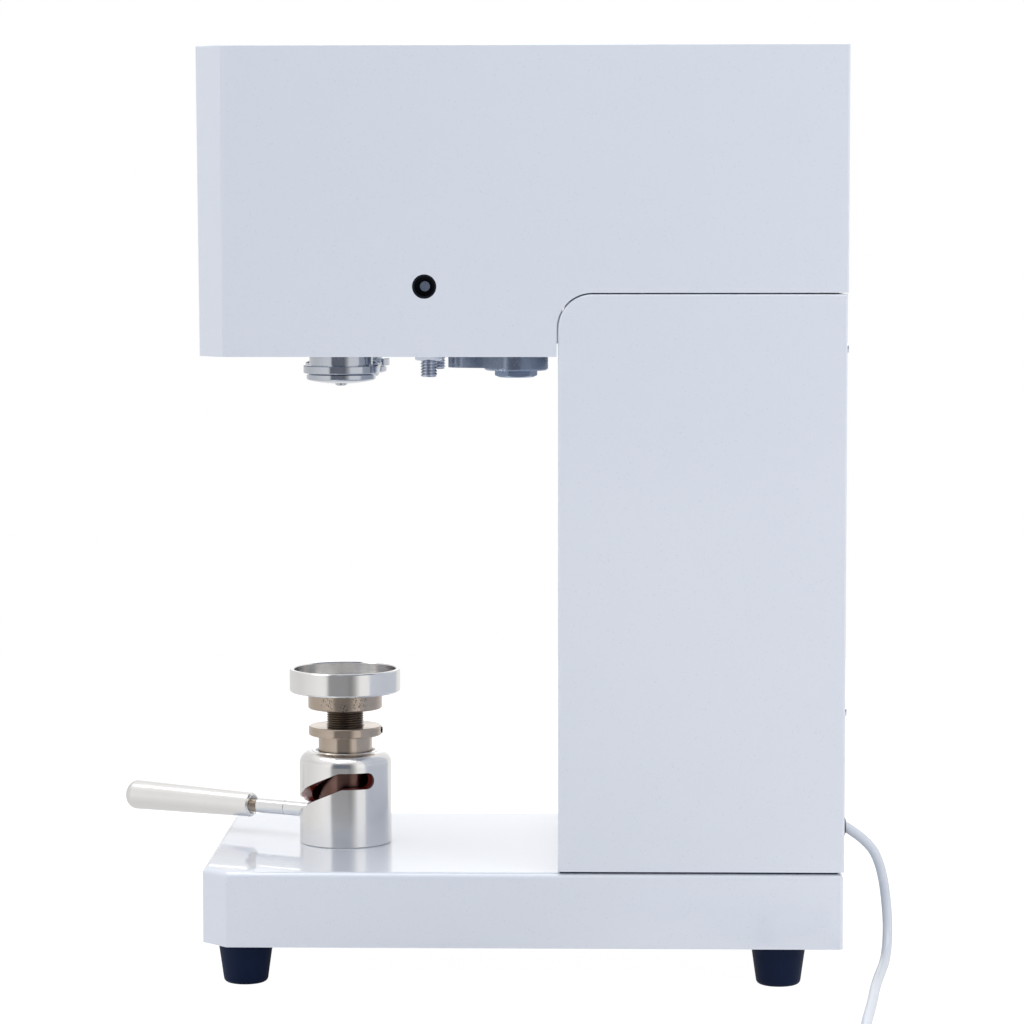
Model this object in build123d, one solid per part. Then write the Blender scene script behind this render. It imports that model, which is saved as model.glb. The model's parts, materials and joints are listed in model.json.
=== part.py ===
from build123d import *
import math
import os

os.makedirs("parts", exist_ok=True)

# Desktop can seamer. Millimetres, +Z up, the machine's front faces -Y.
# The origin is on the bench, on the line on which the can stands and the chuck turns.

# Casing: overall size and sheet
WIDTH = 230.0
FRONT_Y = -83.6
FRONT_LEAN = 1.3
REAR_Y = 319.0
TOP_Z = 588.0
HOOD_HEIGHT = 191.6
HOOD_BOTTOM_Z = TOP_Z - HOOD_HEIGHT
SEAM_DROP = 153.0
SEAM_Z = TOP_Z - SEAM_DROP
SEAM_GAP = 0.8
SHEET = 2.0
EDGE_R = 1.2
HOOD_CUT_X = 18.0
HOOD_CUT_Y = 17.0
ACCESS_HOLE_D = 15.0
ACCESS_HOLE_DROP = 148.3
ACCESS_HOLE_Z = TOP_Z - ACCESS_HOLE_DROP

# Column
COLUMN_FRONT_Y = 140.5
COLUMN_CORNER_R = 21.0
COLUMN_SEAL = 1.0
SEAL_INSET = 1.2

# Base and feet
BASE_FRONT_BACK = 0.4
BASE_FRONT_Y = FRONT_Y + BASE_FRONT_BACK
BASE_REAR_AHEAD = 1.2
BASE_REAR_Y = REAR_Y - BASE_REAR_AHEAD
BASE_BOTTOM_Z = 27.5
BASE_HEIGHT = 47.5
BASE_TOP_Z = BASE_BOTTOM_Z + BASE_HEIGHT
BASE_CUT = 16.3
BASE_EDGE_R = 3.5
BASE_CORNER_R = 2.5
BASE_WALL = 4.0
BASE_TOP_WALL = 6.0
BASE_PLATE = 2.0
FOOT_TOP_D = 35.2
FOOT_BOTTOM_D = 27.4
FOOT_INSET = 30.0
FOOT_X = WIDTH / 2 - FOOT_INSET
FOOT_FRONT_BACK = 25.7
FOOT_FRONT_Y = BASE_FRONT_Y + FOOT_FRONT_BACK
FOOT_REAR_AHEAD = 38.8
FOOT_REAR_Y = BASE_REAR_Y - FOOT_REAR_AHEAD

# Clearances
RUN = 0.05
SLIP = 0.1
FREE = 0.5
SEAT = 0.3

# Jack under the tray
JACK_D = 60.0
JACK_BORE_D = 44.0
JACK_HEIGHT = 60.0
JACK_TOP_Z = BASE_TOP_Z + JACK_HEIGHT
JACK_EDGE_R = 8.0
JACK_FLOOR = 4.0
JACK_BUSH_LENGTH = 8.0
JACK_SCREW_CIRCLE_D = 52.0
SLOT_WIDTH = 10.6
SLOT_DWELL = 35.0
LIFT = 25.0
LIFT_TURN = 114.0
LEVER_REST = -117.0
LEVER_RISE = 18.5
LEVER_Z = BASE_TOP_Z + LEVER_RISE

# Lever
ROD_D = 9.6
ROD_TAIL_D = 8.0
ROD_NECK_D = 6.6
ROD_NECK_LENGTH = 8.0
ROD_STEP_R = 45.5
ROD_END_R = 67.5
GRIP_START_R = 71.7
GRIP_END_R = 170.2
GRIP_INNER_D = 16.2
GRIP_OUTER_D = 19.4
GRIP_NOSE_R = 7.0
GRIP_THREAD_DEPTH = 26.0
GRIP_MOUTH_D = 12.5
GRIP_MOUTH_DEPTH = 4.0

# Piston, stem and tray
COLLAR_HEIGHT = 15.0
PISTON_D = 35.0
PISTON_STEM_D = 24.0
PISTON_TOP_RISE = 10.5
PISTON_TOP_Z = JACK_TOP_Z + PISTON_TOP_RISE
PISTON_NUT_D = 34.0
PISTON_NUT_HEIGHT = 4.6
LOCK_RING_D = 47.6
LOCK_RING_HEIGHT = 6.0
STEM_D = 24.0
HUB_D = 48.2
HUB_BOTTOM_RISE = 17.5
HUB_BOTTOM_Z = PISTON_TOP_Z + HUB_BOTTOM_RISE
HUB_HEIGHT = 10.7
TRAY_BOTTOM_Z = HUB_BOTTOM_Z + HUB_HEIGHT + SEAT
TRAY_HEIGHT = 15.0
TRAY_D = 72.5
CUP_D = 66.4
TRAY_FLOOR = 4.0
TRAY_BEARING_D = 30.0
TRAY_SPIGOT_D = 17.0
STEM_SPAN = 45.0

# Seaming head
PLATE_THICK = 20.0
PLATE_SIDE_ROOM = 16.0
PLATE_HALF_WIDTH = WIDTH / 2 - PLATE_SIDE_ROOM
PLATE_FRONT_BACK = 35.6
PLATE_FRONT_Y = FRONT_Y + PLATE_FRONT_BACK
PLATE_CUT = 28.0
ROLLER_X = 58.0
ROLLER_Y = 2.65
PIVOT_Y = 58.2
CAM_Y = 111.8
ARM_BOTTOM_RISE = 13.6
ARM_BOTTOM_Z = HOOD_BOTTOM_Z + ARM_BOTTOM_RISE
ARM_THICK = 15.0
ARM_HEAD_R = 20.0
ARM_PIVOT_R = 17.0
ARM_TAIL_R = 12.0
STUD_D = 16.0
STUD_THREAD_D = 10.5
STUD_TIP_DROP = 14.8
STUD_TIP_Z = HOOD_BOTTOM_Z - STUD_TIP_DROP
STUD_NUT_FLATS = 17.0
STUD_NUT_BOTTOM_DROP = 4.4
STUD_NUT_BOTTOM_Z = HOOD_BOTTOM_Z - STUD_NUT_BOTTOM_DROP
STUD_NUT_HEIGHT = 8.0
PIVOT_WASHER_D = 24.0
PIVOT_WASHER = 1.5
ROLLER_D = 47.6
ROLLER_HUB_D = 40.0
ROLLER_LOWER_D = 43.6
ROLLER_GROOVE_D = 41.0
ROLLER_SHANK_D = 16.0
ROLLER_TIP_DROP = 20.6
ROLLER_TIP_Z = HOOD_BOTTOM_Z - ROLLER_TIP_DROP
ROLLER_DOME_DROP = 18.9
ROLLER_DOME_Z = HOOD_BOTTOM_Z - ROLLER_DOME_DROP
ROLLER_LOWER_DROP = 16.2
ROLLER_LOWER_Z = HOOD_BOTTOM_Z - ROLLER_LOWER_DROP
ROLLER_FLANGE_DROP = 12.3
ROLLER_FLANGE_Z = HOOD_BOTTOM_Z - ROLLER_FLANGE_DROP
ROLLER_HUB_DROP = 7.5
ROLLER_HUB_Z = HOOD_BOTTOM_Z - ROLLER_HUB_DROP
ROLLER_SCREW_D = 8.5
FOLLOWER_D = 22.0
FOLLOWER_HEIGHT = 11.5
FOLLOWER_PIN_D = 8.0
FOLLOWER_REACH = 34.5
CAM_BOSS_D = 41.4
CAM_BOSS_DROP = 13.0
CAM_BOSS_Z = HOOD_BOTTOM_Z - CAM_BOSS_DROP
CAM_LOBE_DROP = 11.1
CAM_LOBE_Z = HOOD_BOTTOM_Z - CAM_LOBE_DROP
CAM_LOBE_REACH = 44.0
CAM_TIP_R = 13.0
CAM_SHAFT_D = 16.0
CAM_NUT_FLATS = 24.0
CAM_NUT_TURN = -20.0
CAM_NUT_DROP = 17.6
CAM_NUT_Z = HOOD_BOTTOM_Z - CAM_NUT_DROP
CAM_NUT_HEIGHT = 8.0
SPRING_WIRE_D = 2.2
SPRING_TURNS = 3.0
CHUCK_D = 49.2
CHUCK_NOSE_D = 46.0
CHUCK_BOTTOM_DROP = 16.9
CHUCK_BOTTOM_Z = HOOD_BOTTOM_Z - CHUCK_BOTTOM_DROP
CHUCK_LIP_DROP = 8.0
CHUCK_LIP_Z = HOOD_BOTTOM_Z - CHUCK_LIP_DROP
CHUCK_TOP_RISE = 4.6
CHUCK_TOP_Z = HOOD_BOTTOM_Z + CHUCK_TOP_RISE
SPINDLE_D = 25.0
BEARING_D = 42.0
BEARING_WIDTH = 12.0
HOUSING_D = 50.0
HOUSING_BOTTOM_RISE = 6.6
HOUSING_BOTTOM_Z = HOOD_BOTTOM_Z + HOUSING_BOTTOM_RISE
HOUSING_FLANGE_D = 72.0
HOUSING_FLANGE = 3.2
HOUSING_SCREW_CIRCLE_D = 60.0

# Drive
BELT_RISE = 61.6
BELT_Z = HOOD_BOTTOM_Z + BELT_RISE
BELT_WIDTH = 16.0
BELT_THICK = 3.0
PULLEY_FLANGE = 2.0
PULLEY_LIP = 2.0
SPINDLE_PULLEY_D = 100.0
MOTOR_PULLEY_D = 40.0
MOTOR_D = 104.0
MOTOR_LENGTH = 160.0
MOTOR_SHAFT_D = 14.0
MOTOR_FLANGE_D = 114.0
FAN_D = 88.0
FAN_HEIGHT = 10.0
GEARMOTOR_D = 60.0
GEARMOTOR_FLANGE = 64.0
GEARMOTOR_HEIGHT = 88.0

# Column frame
FRAME_WALL = 6.0
FRAME_SIDE_ROOM = 12.0
FRAME_END_ROOM = 2.0
FRAME_WIDTH = MOTOR_FLANGE_D + 2 * (FRAME_WALL + FRAME_SIDE_ROOM)
FRAME_DEPTH = MOTOR_FLANGE_D + 2 * (FRAME_WALL + FRAME_END_ROOM)
FRAME_REAR_ROOM = 24.0
MOTOR_Y = REAR_Y - FRAME_REAR_ROOM - FRAME_DEPTH / 2
FRAME_LUG_X = 14.0
FRAME_LUG_Y = 18.0
FRAME_LUG_HEIGHT = 16.0
FRAME_BOLT_D = 8.0
FRAME_BOLT_X = FRAME_WIDTH / 2 - FRAME_WALL - FRAME_LUG_X / 2
FRAME_BOLT_Y = 30.0
COVER_SCREW_INSET = 13.0
COVER_SCREW_RISE = 94.0
COVER_SCREW_DROP = 35.0
VENT_PITCH = 16.0
VENT_LENGTH = 34.0
VENT_WIDTH = 5.0
VENT_ROW_GAP = 10.0
VENT_DROP = 113.0
VENT_COLUMNS = 9

# Circuit board, flat in the foot of the frame
BOARD_HALF = 50.0
BOARD_THICK = 1.6
BOARD_POST = 12.0
BOARD_POST_D = 7.0
BOARD_POST_INSET = 4.0

# Controls, gland and cord
BUTTON_DROP = 48.0
BUTTON_Z = TOP_Z - BUTTON_DROP
BUTTON_BEZEL_D = 24.0
BUTTON_BODY_D = 16.0
BUTTON_CAP_D = 13.0
BUTTON_TRAVEL = 2.5
SWITCH_X = -55.0
SWITCH_RISE = 37.0
SWITCH_Z = BASE_TOP_Z + SWITCH_RISE
SWITCH_WIDTH = 21.0
SWITCH_HEIGHT = 28.0
SWITCH_DEPTH = 18.0
SWITCH_RIM = 2.0
ROCKER_R = 11.5
ROCKER_WIDTH = 17.0
ROCKER_TURN = 14.0
GLAND_RISE = 11.0
GLAND_Z = BASE_TOP_Z + GLAND_RISE
GLAND_D = 24.0
GLAND_HEIGHT = 8.0
GLAND_NECK_D = 12.0
CORD_D = 6.5
COIL_RADII = (29.5, 36.0, 42.5)
COIL_LAYERS = 2
COIL_X = 316.0
COIL_Y = 276.0
PLUG_LENGTH = 34.0
PLUG_WIDTH = 26.0
PLUG_THICK = 19.0
PLUG_RELIEF = 30.0
PLUG_TIP_RUN = 12.0
BLADE_LENGTH = 18.0

# Places that follow from the sizes above
HALF_WIDTH = WIDTH / 2
COLUMN_LOW_Z = BASE_TOP_Z + COLUMN_SEAL
PLATE_BOTTOM_Z = ACCESS_HOLE_Z - PLATE_THICK / 2
PLATE_TOP_Z = ACCESS_HOLE_Z + PLATE_THICK / 2
ARM_TOP_Z = ARM_BOTTOM_Z + ARM_THICK
FOLLOWER_X = FOLLOWER_REACH + FOLLOWER_D / 2
FOLLOWER_TOP_Z = ARM_BOTTOM_Z - FREE
FOLLOWER_LOW_Z = FOLLOWER_TOP_Z - FOLLOWER_HEIGHT
STEM_TOP_Z = HUB_BOTTOM_Z
LOCK_RING_TOP_Z = PISTON_TOP_Z + LOCK_RING_HEIGHT
FRAME_REAR_Y = MOTOR_Y + FRAME_DEPTH / 2
FEET = [(x, y) for x in (-FOOT_X, FOOT_X) for y in (FOOT_FRONT_Y, FOOT_REAR_Y)]
FRAME_BOLTS = [
    (x, MOTOR_Y + y) for x in (-FRAME_BOLT_X, FRAME_BOLT_X) for y in (-FRAME_BOLT_Y, FRAME_BOLT_Y)
]
SIDES = {"right": 1, "left": -1}


# Shared shapes
def disc(diameter, low_z, high_z, at=(0, 0), bore=0.0):
    """An upright cylinder, or a ring when it has a bore."""
    face = Circle(diameter / 2)
    if bore:
        face -= Circle(bore / 2)
    return Pos(at[0], at[1], low_z) * extrude(face, high_z - low_z)


def block(low, high):
    """A box between two corners."""
    size = [b - a for a, b in zip(low, high)]
    middle = [(a + b) / 2 for a, b in zip(low, high)]
    return Pos(*middle) * Box(*size)


def turned(points, at=(0, 0)):
    """A turned piece about a vertical axis, from (radius, z) points."""
    profile = Plane.XZ * make_face(Polyline(*points, close=True))
    return Pos(at[0], at[1], 0) * revolve(profile, Axis.Z)


def hexagon(flats, low_z, high_z, at=(0, 0), bore=0.0, turn=0.0):
    """A nut's hexagon with its corners rounded off at both ends."""
    corner_r = flats / math.sqrt(3)
    height = high_z - low_z
    prism = Pos(at[0], at[1], low_z) * Rot(0, 0, turn) * extrude(RegularPolygon(corner_r, 6), height)
    crown = 0.12 * flats
    round_off = disc(2 * corner_r, low_z, high_z, at)
    round_off = chamfer(round_off.edges(), crown * 0.45, crown)
    nut = prism & round_off
    if bore:
        nut -= disc(bore, low_z - 1, high_z + 1, at)
    return nut


def cap_screw(diameter, length, under_head_z, at=(0, 0), up=True):
    """A socket-head screw. Its shank points up, with the head below, or down."""
    head_d = 1.6 * diameter
    screw = disc(head_d, -diameter, 0) - extrude(
        Pos(0, 0, -diameter) * RegularPolygon(0.47 * diameter, 6), 0.5 * diameter
    )
    screw = chamfer(screw.edges().filter_by(GeomType.CIRCLE).sort_by(Axis.Z)[0], 0.08 * diameter)
    screw += disc(diameter, 0, length)
    turn = Rot(0, 0, 0) if up else Rot(180, 0, 0)
    return Pos(at[0], at[1], under_head_z) * turn * screw


def group(solids):
    """Separate solids that share one node."""
    return Compound(children=list(solids))


def hull(circles, low_z, high_z):
    """A plate whose outline is the tight belt round circles given as (x, y, radius)."""
    edges = [edge for x, y, r in circles for edge in (Pos(x, y) * Circle(r)).edges()]
    return Pos(0, 0, low_z) * extrude(make_hull(edges), high_z - low_z)


def radial_pin(diameter, inner_r, outer_r, azimuth, z):
    """A cylinder lying on a radius at an azimuth in degrees."""
    length = outer_r - inner_r
    pin = Pos(inner_r + length / 2, 0, 0) * Rot(0, 90, 0) * Cylinder(diameter / 2, length)
    return Pos(0, 0, z) * Rot(0, 0, azimuth) * pin


# Base
def base_outline():
    depth = BASE_REAR_Y - BASE_FRONT_Y
    outline = Pos(0, BASE_FRONT_Y + depth / 2) * Rectangle(WIDTH, depth)
    return chamfer(outline.vertices().sort_by(Axis.Y)[:2], BASE_CUT)


def base_housing():
    height = BASE_TOP_Z - BASE_BOTTOM_Z
    shell = Pos(0, 0, BASE_BOTTOM_Z) * extrude(base_outline(), height)
    shell = fillet(shell.edges().filter_by(Axis.Z), BASE_CORNER_R)
    shell = fillet(shell.faces().sort_by(Axis.Z)[-1].edges(), BASE_EDGE_R)
    cavity = offset(base_outline(), -BASE_WALL, kind=Kind.INTERSECTION)
    shell -= Pos(0, 0, BASE_BOTTOM_Z) * extrude(cavity, height - BASE_TOP_WALL)
    for at in FEET:
        shell += disc(24, BASE_BOTTOM_Z + BASE_PLATE, BASE_TOP_Z - BASE_TOP_WALL, at)
        shell -= disc(5 + SLIP, BASE_BOTTOM_Z, BASE_TOP_Z - BASE_TOP_WALL, at)
    for at in jack_screw_places():
        shell -= disc(6.6, BASE_TOP_Z - BASE_TOP_WALL - 1, BASE_TOP_Z + 1, at)
    for at in FRAME_BOLTS:
        shell -= disc(9, BASE_TOP_Z - BASE_TOP_WALL - 1, BASE_TOP_Z + 1, at)
    return shell


def base_plate():
    inside = offset(base_outline(), -BASE_WALL - FREE, kind=Kind.INTERSECTION)
    plate = Pos(0, 0, BASE_BOTTOM_Z) * extrude(inside, BASE_PLATE)
    for at in FEET:
        plate -= disc(5.5, BASE_BOTTOM_Z - 1, BASE_BOTTOM_Z + BASE_PLATE + 1, at)
    return plate


def rubber_feet():
    foot = turned(
        [
            (2.8, 8), (6.5, 8), (6.5, 0), (FOOT_BOTTOM_D / 2, 0),
            (FOOT_TOP_D / 2, BASE_BOTTOM_Z), (2.8, BASE_BOTTOM_Z),
        ]
    )
    rim = foot.edges().filter_by(GeomType.CIRCLE).group_by(Axis.Z)[0].sort_by(SortBy.RADIUS)[-1]
    foot = fillet(rim, 3.0)
    return group(Pos(x, y, 0) * foot for x, y in FEET)


def base_screws():
    """The screws that reach up through the base: for feet, jack and frame."""
    under_top = BASE_TOP_Z - BASE_TOP_WALL
    screws = [cap_screw(5, 32, 8, at) for at in FEET]
    screws += [cap_screw(6, 14, under_top, at) for at in jack_screw_places()]
    screws += [
        cap_screw(FRAME_BOLT_D, BASE_TOP_WALL + FRAME_LUG_HEIGHT - 2, under_top, at) for at in FRAME_BOLTS
    ]
    return group(screws)


# Jack body with its cam slot
def jack_screw_places():
    return [(loc.position.X, loc.position.Y) for loc in PolarLocations(JACK_SCREW_CIRCLE_D / 2, 4, 45)]


def slot_cutter():
    """The lever's slot: a helical rise, a bend and a level dwell, all cut on radii."""
    inner_r = JACK_BORE_D / 2 - 4
    outer_r = JACK_D / 2 + 4
    middle_r = (inner_r + outer_r) / 2
    rise = Helix(pitch=LIFT * 360 / LIFT_TURN, height=LIFT, radius=middle_r)
    start = Plane(origin=rise @ 0, x_dir=(1, 0, 0), z_dir=rise % 0)
    section = start * Rectangle(outer_r - inner_r, SLOT_WIDTH)
    helical = Pos(0, 0, LEVER_Z) * Rot(0, 0, LEVER_REST) * sweep(section, path=rise, is_frenet=True)
    level_section = Plane.XZ * Pos(middle_r, LEVER_Z + LIFT) * Rectangle(outer_r - inner_r, SLOT_WIDTH)
    dwell = Rot(0, 0, LEVER_REST + LIFT_TURN) * revolve(level_section, Axis.Z, SLOT_DWELL)
    ends = [
        (LEVER_REST, LEVER_Z),
        (LEVER_REST + LIFT_TURN, LEVER_Z + LIFT),
        (LEVER_REST + LIFT_TURN + SLOT_DWELL, LEVER_Z + LIFT),
    ]
    rounds = [radial_pin(SLOT_WIDTH, inner_r, outer_r, azimuth, z) for azimuth, z in ends]
    return [helical, dwell, *rounds]


def jack_body():
    body = disc(JACK_D, BASE_TOP_Z, JACK_TOP_Z)
    body = fillet(body.edges().sort_by(Axis.Z)[-1], JACK_EDGE_R)
    body -= disc(JACK_BORE_D, BASE_TOP_Z + JACK_FLOOR, JACK_TOP_Z + 1)
    body = chamfer(body.edges().filter_by(GeomType.CIRCLE).sort_by(Axis.Z)[0], 0.6)
    for tool in slot_cutter():
        body -= tool
    for at in jack_screw_places():
        body -= disc(6 + SLIP, BASE_TOP_Z - 1, BASE_TOP_Z + 9, at)
    return body


def jack_bush():
    """The guide bush pressed in the jack's mouth."""
    low = JACK_TOP_Z - JACK_BUSH_LENGTH
    bore = PISTON_D + 2 * RUN
    bush = disc(JACK_BORE_D - SLIP, low, JACK_TOP_Z + 0.4, bore=bore)
    top = bush.edges().filter_by(GeomType.CIRCLE).group_by(Axis.Z)[-1]
    return chamfer(top, 0.5)


# Lever with the collar that it turns
def cam_collar():
    low = LEVER_Z - COLLAR_HEIGHT / 2
    collar = disc(JACK_BORE_D - 4 * RUN, low, low + COLLAR_HEIGHT, bore=PISTON_STEM_D + 2 * RUN)
    collar = chamfer(collar.edges().filter_by(GeomType.CIRCLE), 0.5)
    return collar - radial_pin(ROD_TAIL_D + SLIP, 5, JACK_BORE_D, LEVER_REST, LEVER_Z)


def lever_rod():
    tail_r = PISTON_STEM_D / 2 + 1.2
    shoulder_r = JACK_BORE_D / 2
    neck_end_r = ROD_END_R + ROD_NECK_LENGTH
    thread_end_r = GRIP_START_R + GRIP_THREAD_DEPTH - 2
    rod = radial_pin(ROD_TAIL_D, tail_r, shoulder_r, LEVER_REST, LEVER_Z)
    bar = radial_pin(ROD_D, shoulder_r, ROD_END_R, 0, 0)
    bar = chamfer(bar.edges().filter_by(GeomType.CIRCLE).sort_by(Axis.X)[-1], 0.6)
    step = radial_pin(ROD_D + 2, ROD_STEP_R, ROD_STEP_R + 0.6, 0, 0)
    step -= radial_pin(ROD_D - 0.7, ROD_STEP_R - 1, ROD_STEP_R + 2, 0, 0)
    bar -= step
    rod += Pos(0, 0, LEVER_Z) * Rot(0, 0, LEVER_REST) * bar
    rod += radial_pin(ROD_NECK_D, ROD_END_R, neck_end_r, LEVER_REST, LEVER_Z)
    rod += radial_pin(ROD_TAIL_D - 0.4, neck_end_r, thread_end_r, LEVER_REST, LEVER_Z)
    return rod


def lever_grip():
    """A tapered handle with a rounded end, turned about its own length."""
    length = GRIP_END_R - GRIP_START_R
    end_r = GRIP_OUTER_D / 2
    thread_r = ROD_TAIL_D / 2
    shoulder = length - GRIP_NOSE_R
    flat_r = end_r - GRIP_NOSE_R
    outline = [
        (thread_r, 0), (GRIP_INNER_D / 2 - 1.0, 0), (GRIP_INNER_D / 2, 1.2),
        (end_r, shoulder),
    ]
    nose = ThreePointArc(
        (end_r, shoulder),
        (flat_r + GRIP_NOSE_R * math.cos(0.8), shoulder + GRIP_NOSE_R * math.sin(0.8)),
        (flat_r, length),
    )
    floor_z = GRIP_THREAD_DEPTH
    profile = Polyline(*outline) + nose
    profile += Polyline((flat_r, length), (0, length), (0, floor_z), (thread_r, floor_z), (thread_r, 0))
    grip = revolve(Plane.XZ * make_face(profile), Axis.Z)
    mouth = Pos(0, 0, GRIP_MOUTH_DEPTH / 2) * Cone(
        GRIP_MOUTH_D / 2, thread_r, GRIP_MOUTH_DEPTH
    )
    grip -= mouth
    return Pos(0, 0, LEVER_Z) * Rot(0, 0, LEVER_REST) * Pos(GRIP_START_R, 0, 0) * Rot(0, 90, 0) * grip


# Piston that carries the tray
def lift_piston():
    collar_top = LEVER_Z + COLLAR_HEIGHT / 2
    low = LEVER_Z - COLLAR_HEIGHT / 2 - PISTON_NUT_HEIGHT - 0.5
    piston = disc(PISTON_STEM_D, low, collar_top + SLIP)
    piston += disc(PISTON_D, collar_top + SLIP, PISTON_TOP_Z)
    piston = chamfer(piston.edges().filter_by(GeomType.CIRCLE).sort_by(Axis.Z)[-1], 0.8)
    return piston - disc(STEM_D + 2 * RUN, STEM_TOP_Z - STEM_SPAN - 2, PISTON_TOP_Z + 1)


def piston_nut():
    top = LEVER_Z - COLLAR_HEIGHT / 2 - SLIP
    nut = disc(PISTON_NUT_D, top - PISTON_NUT_HEIGHT, top, bore=PISTON_STEM_D + SLIP)
    return chamfer(nut.edges().filter_by(GeomType.CIRCLE), 0.4)


def lock_ring():
    ring = disc(LOCK_RING_D, PISTON_TOP_Z, LOCK_RING_TOP_Z, bore=STEM_D + 2 * RUN)
    ring = chamfer(ring.edges().filter_by(GeomType.CIRCLE), 0.6)
    middle_z = (PISTON_TOP_Z + LOCK_RING_TOP_Z) / 2
    return ring - radial_pin(4 + SLIP, 5, LOCK_RING_D, 90, middle_z)


def lock_ring_screw():
    middle_z = (PISTON_TOP_Z + LOCK_RING_TOP_Z) / 2
    inner_r = STEM_D / 2 + SEAT
    screw = radial_pin(4, inner_r, LOCK_RING_D / 2 + 0.6, 0, 0)
    socket = Pos(LOCK_RING_D / 2 - 1.4, 0, 0) * Rot(0, 90, 0) * extrude(RegularPolygon(1.15, 6), 3)
    return Pos(0, 0, middle_z) * Rot(0, 0, 90) * (screw - socket)


def height_stem():
    stem = disc(STEM_D, STEM_TOP_Z - STEM_SPAN, STEM_TOP_Z)
    return chamfer(stem.edges().filter_by(GeomType.CIRCLE), 1.2)


def bearing_hub():
    """The hub on the stem's top, with the bearing in it that the tray turns in."""
    top = HUB_BOTTOM_Z + HUB_HEIGHT
    low = HUB_BOTTOM_Z + 2
    bore = TRAY_SPIGOT_D + 2 * RUN
    hub = disc(HUB_D, HUB_BOTTOM_Z, top)
    hub = chamfer(hub.edges().filter_by(GeomType.CIRCLE), 0.7)
    hub -= disc(TRAY_BEARING_D, low, top + 1)
    return group([hub, disc(TRAY_BEARING_D - SLIP, low, top - 0.4, bore=bore)])


def can_tray():
    rim_top = TRAY_BOTTOM_Z + TRAY_HEIGHT
    tray = disc(TRAY_D, TRAY_BOTTOM_Z, rim_top)
    tray = chamfer(tray.edges().filter_by(GeomType.CIRCLE).sort_by(Axis.Z)[0], 1.0)
    tray -= disc(CUP_D, TRAY_BOTTOM_Z + TRAY_FLOOR, rim_top + 1)
    rim = tray.edges().filter_by(GeomType.CIRCLE).group_by(Axis.Z)[-1]
    tray = chamfer(rim, 0.6)
    return tray + disc(TRAY_SPIGOT_D, HUB_BOTTOM_Z + 2.5, TRAY_BOTTOM_Z)


# Column
def column_side(inset):
    """The column's outline from the side as (y, z), bent back at its top front corner."""
    front = COLUMN_FRONT_Y + inset
    rear = BASE_REAR_Y + (REAR_Y - BASE_REAR_Y) / 2 - inset
    top = SEAM_Z - inset
    r = COLUMN_CORNER_R - inset
    half = math.sqrt(0.5)
    path = Polyline(
        (front + r, top), (rear, top), (rear, COLUMN_LOW_Z), (front, COLUMN_LOW_Z), (front, top - r)
    )
    path += ThreePointArc((front, top - r), (front + r - r * half, top - r + r * half), (front + r, top))
    return make_face(path)


def along_x(face, half_width):
    """A profile drawn as (y, z), run across the machine from -half_width to +half_width."""
    return Pos(-half_width, 0, 0) * extrude(Plane.YZ * face, 2 * half_width)


def column_rear():
    return column_side(0).bounding_box().max.X


def column_cover():
    cover = along_x(column_side(0), HALF_WIDTH)
    cover = fillet(cover.edges().filter_by(Axis.Z), EDGE_R)
    cover -= along_x(column_side(SHEET), HALF_WIDTH - SHEET)
    cover -= block((-HALF_WIDTH + SHEET, COLUMN_FRONT_Y + SHEET, COLUMN_LOW_Z - 1),
                   (HALF_WIDTH - SHEET, column_rear() - SHEET, COLUMN_LOW_Z + SHEET + 1))
    notch = PLATE_HALF_WIDTH + 2
    cover -= block((-notch, COLUMN_FRONT_Y - 1, PLATE_BOTTOM_Z - 14), (notch, FRAME_REAR_Y + 12, SEAM_Z + 1))
    rear = column_rear()
    half_x = SWITCH_WIDTH / 2 + SLIP
    half_z = SWITCH_HEIGHT / 2 + SLIP
    cover -= block((SWITCH_X - half_x, rear - SHEET - 1, SWITCH_Z - half_z),
                   (SWITCH_X + half_x, rear + 1, SWITCH_Z + half_z))
    cover -= rear_bore(GLAND_NECK_D + SLIP, 0, GLAND_Z)
    for x, z in cover_screw_places():
        cover -= rear_bore(4.5, x, z)
    for loc in GridLocations(VENT_PITCH, VENT_LENGTH + VENT_ROW_GAP, VENT_COLUMNS, 2):
        cover -= vent_slot(loc.position.X, SEAM_Z - VENT_DROP + loc.position.Y)
    return cover


def rear_bore(diameter, x, z):
    """A drill through the column's rear wall."""
    return Pos(x, column_rear() - SHEET, z) * Rot(90, 0, 0) * Cylinder(diameter / 2, 4 * SHEET)


def vent_slot(x, z):
    """One upright cooling slot in the column's rear wall."""
    slot = extrude(SlotOverall(VENT_LENGTH, VENT_WIDTH), 2 * SHEET, both=True)
    return Pos(x, column_rear(), z) * Rot(90, 0, 0) * Rot(0, 0, 90) * slot


def column_seal():
    """The dark strip in the seam between column and base."""
    rear = column_rear() - SEAL_INSET
    front = COLUMN_FRONT_Y + SEAL_INSET
    side = HALF_WIDTH - SEAL_INSET
    outer = block((-side, front, BASE_TOP_Z), (side, BASE_REAR_Y - BASE_EDGE_R, COLUMN_LOW_Z))
    inner = block((-HALF_WIDTH + 8, front + 7, BASE_TOP_Z - 1), (HALF_WIDTH - 8, rear - 9, COLUMN_LOW_Z + 1))
    return outer - inner


def column_frame():
    """A welded box post with four bored lugs inside each end."""
    low = BASE_TOP_Z
    high = PLATE_BOTTOM_Z
    post = Rectangle(FRAME_WIDTH, FRAME_DEPTH)
    post -= Rectangle(FRAME_WIDTH - 2 * FRAME_WALL, FRAME_DEPTH - 2 * FRAME_WALL)
    frame = Pos(0, MOTOR_Y, low) * extrude(post, high - low)
    lug = Rectangle(FRAME_LUG_X, FRAME_LUG_Y) - Circle((FRAME_BOLT_D + SLIP) / 2)
    for x, y in FRAME_BOLTS:
        for z in (low, high - FRAME_LUG_HEIGHT):
            frame += Pos(x, y, z) * extrude(lug, FRAME_LUG_HEIGHT)
    return frame


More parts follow.
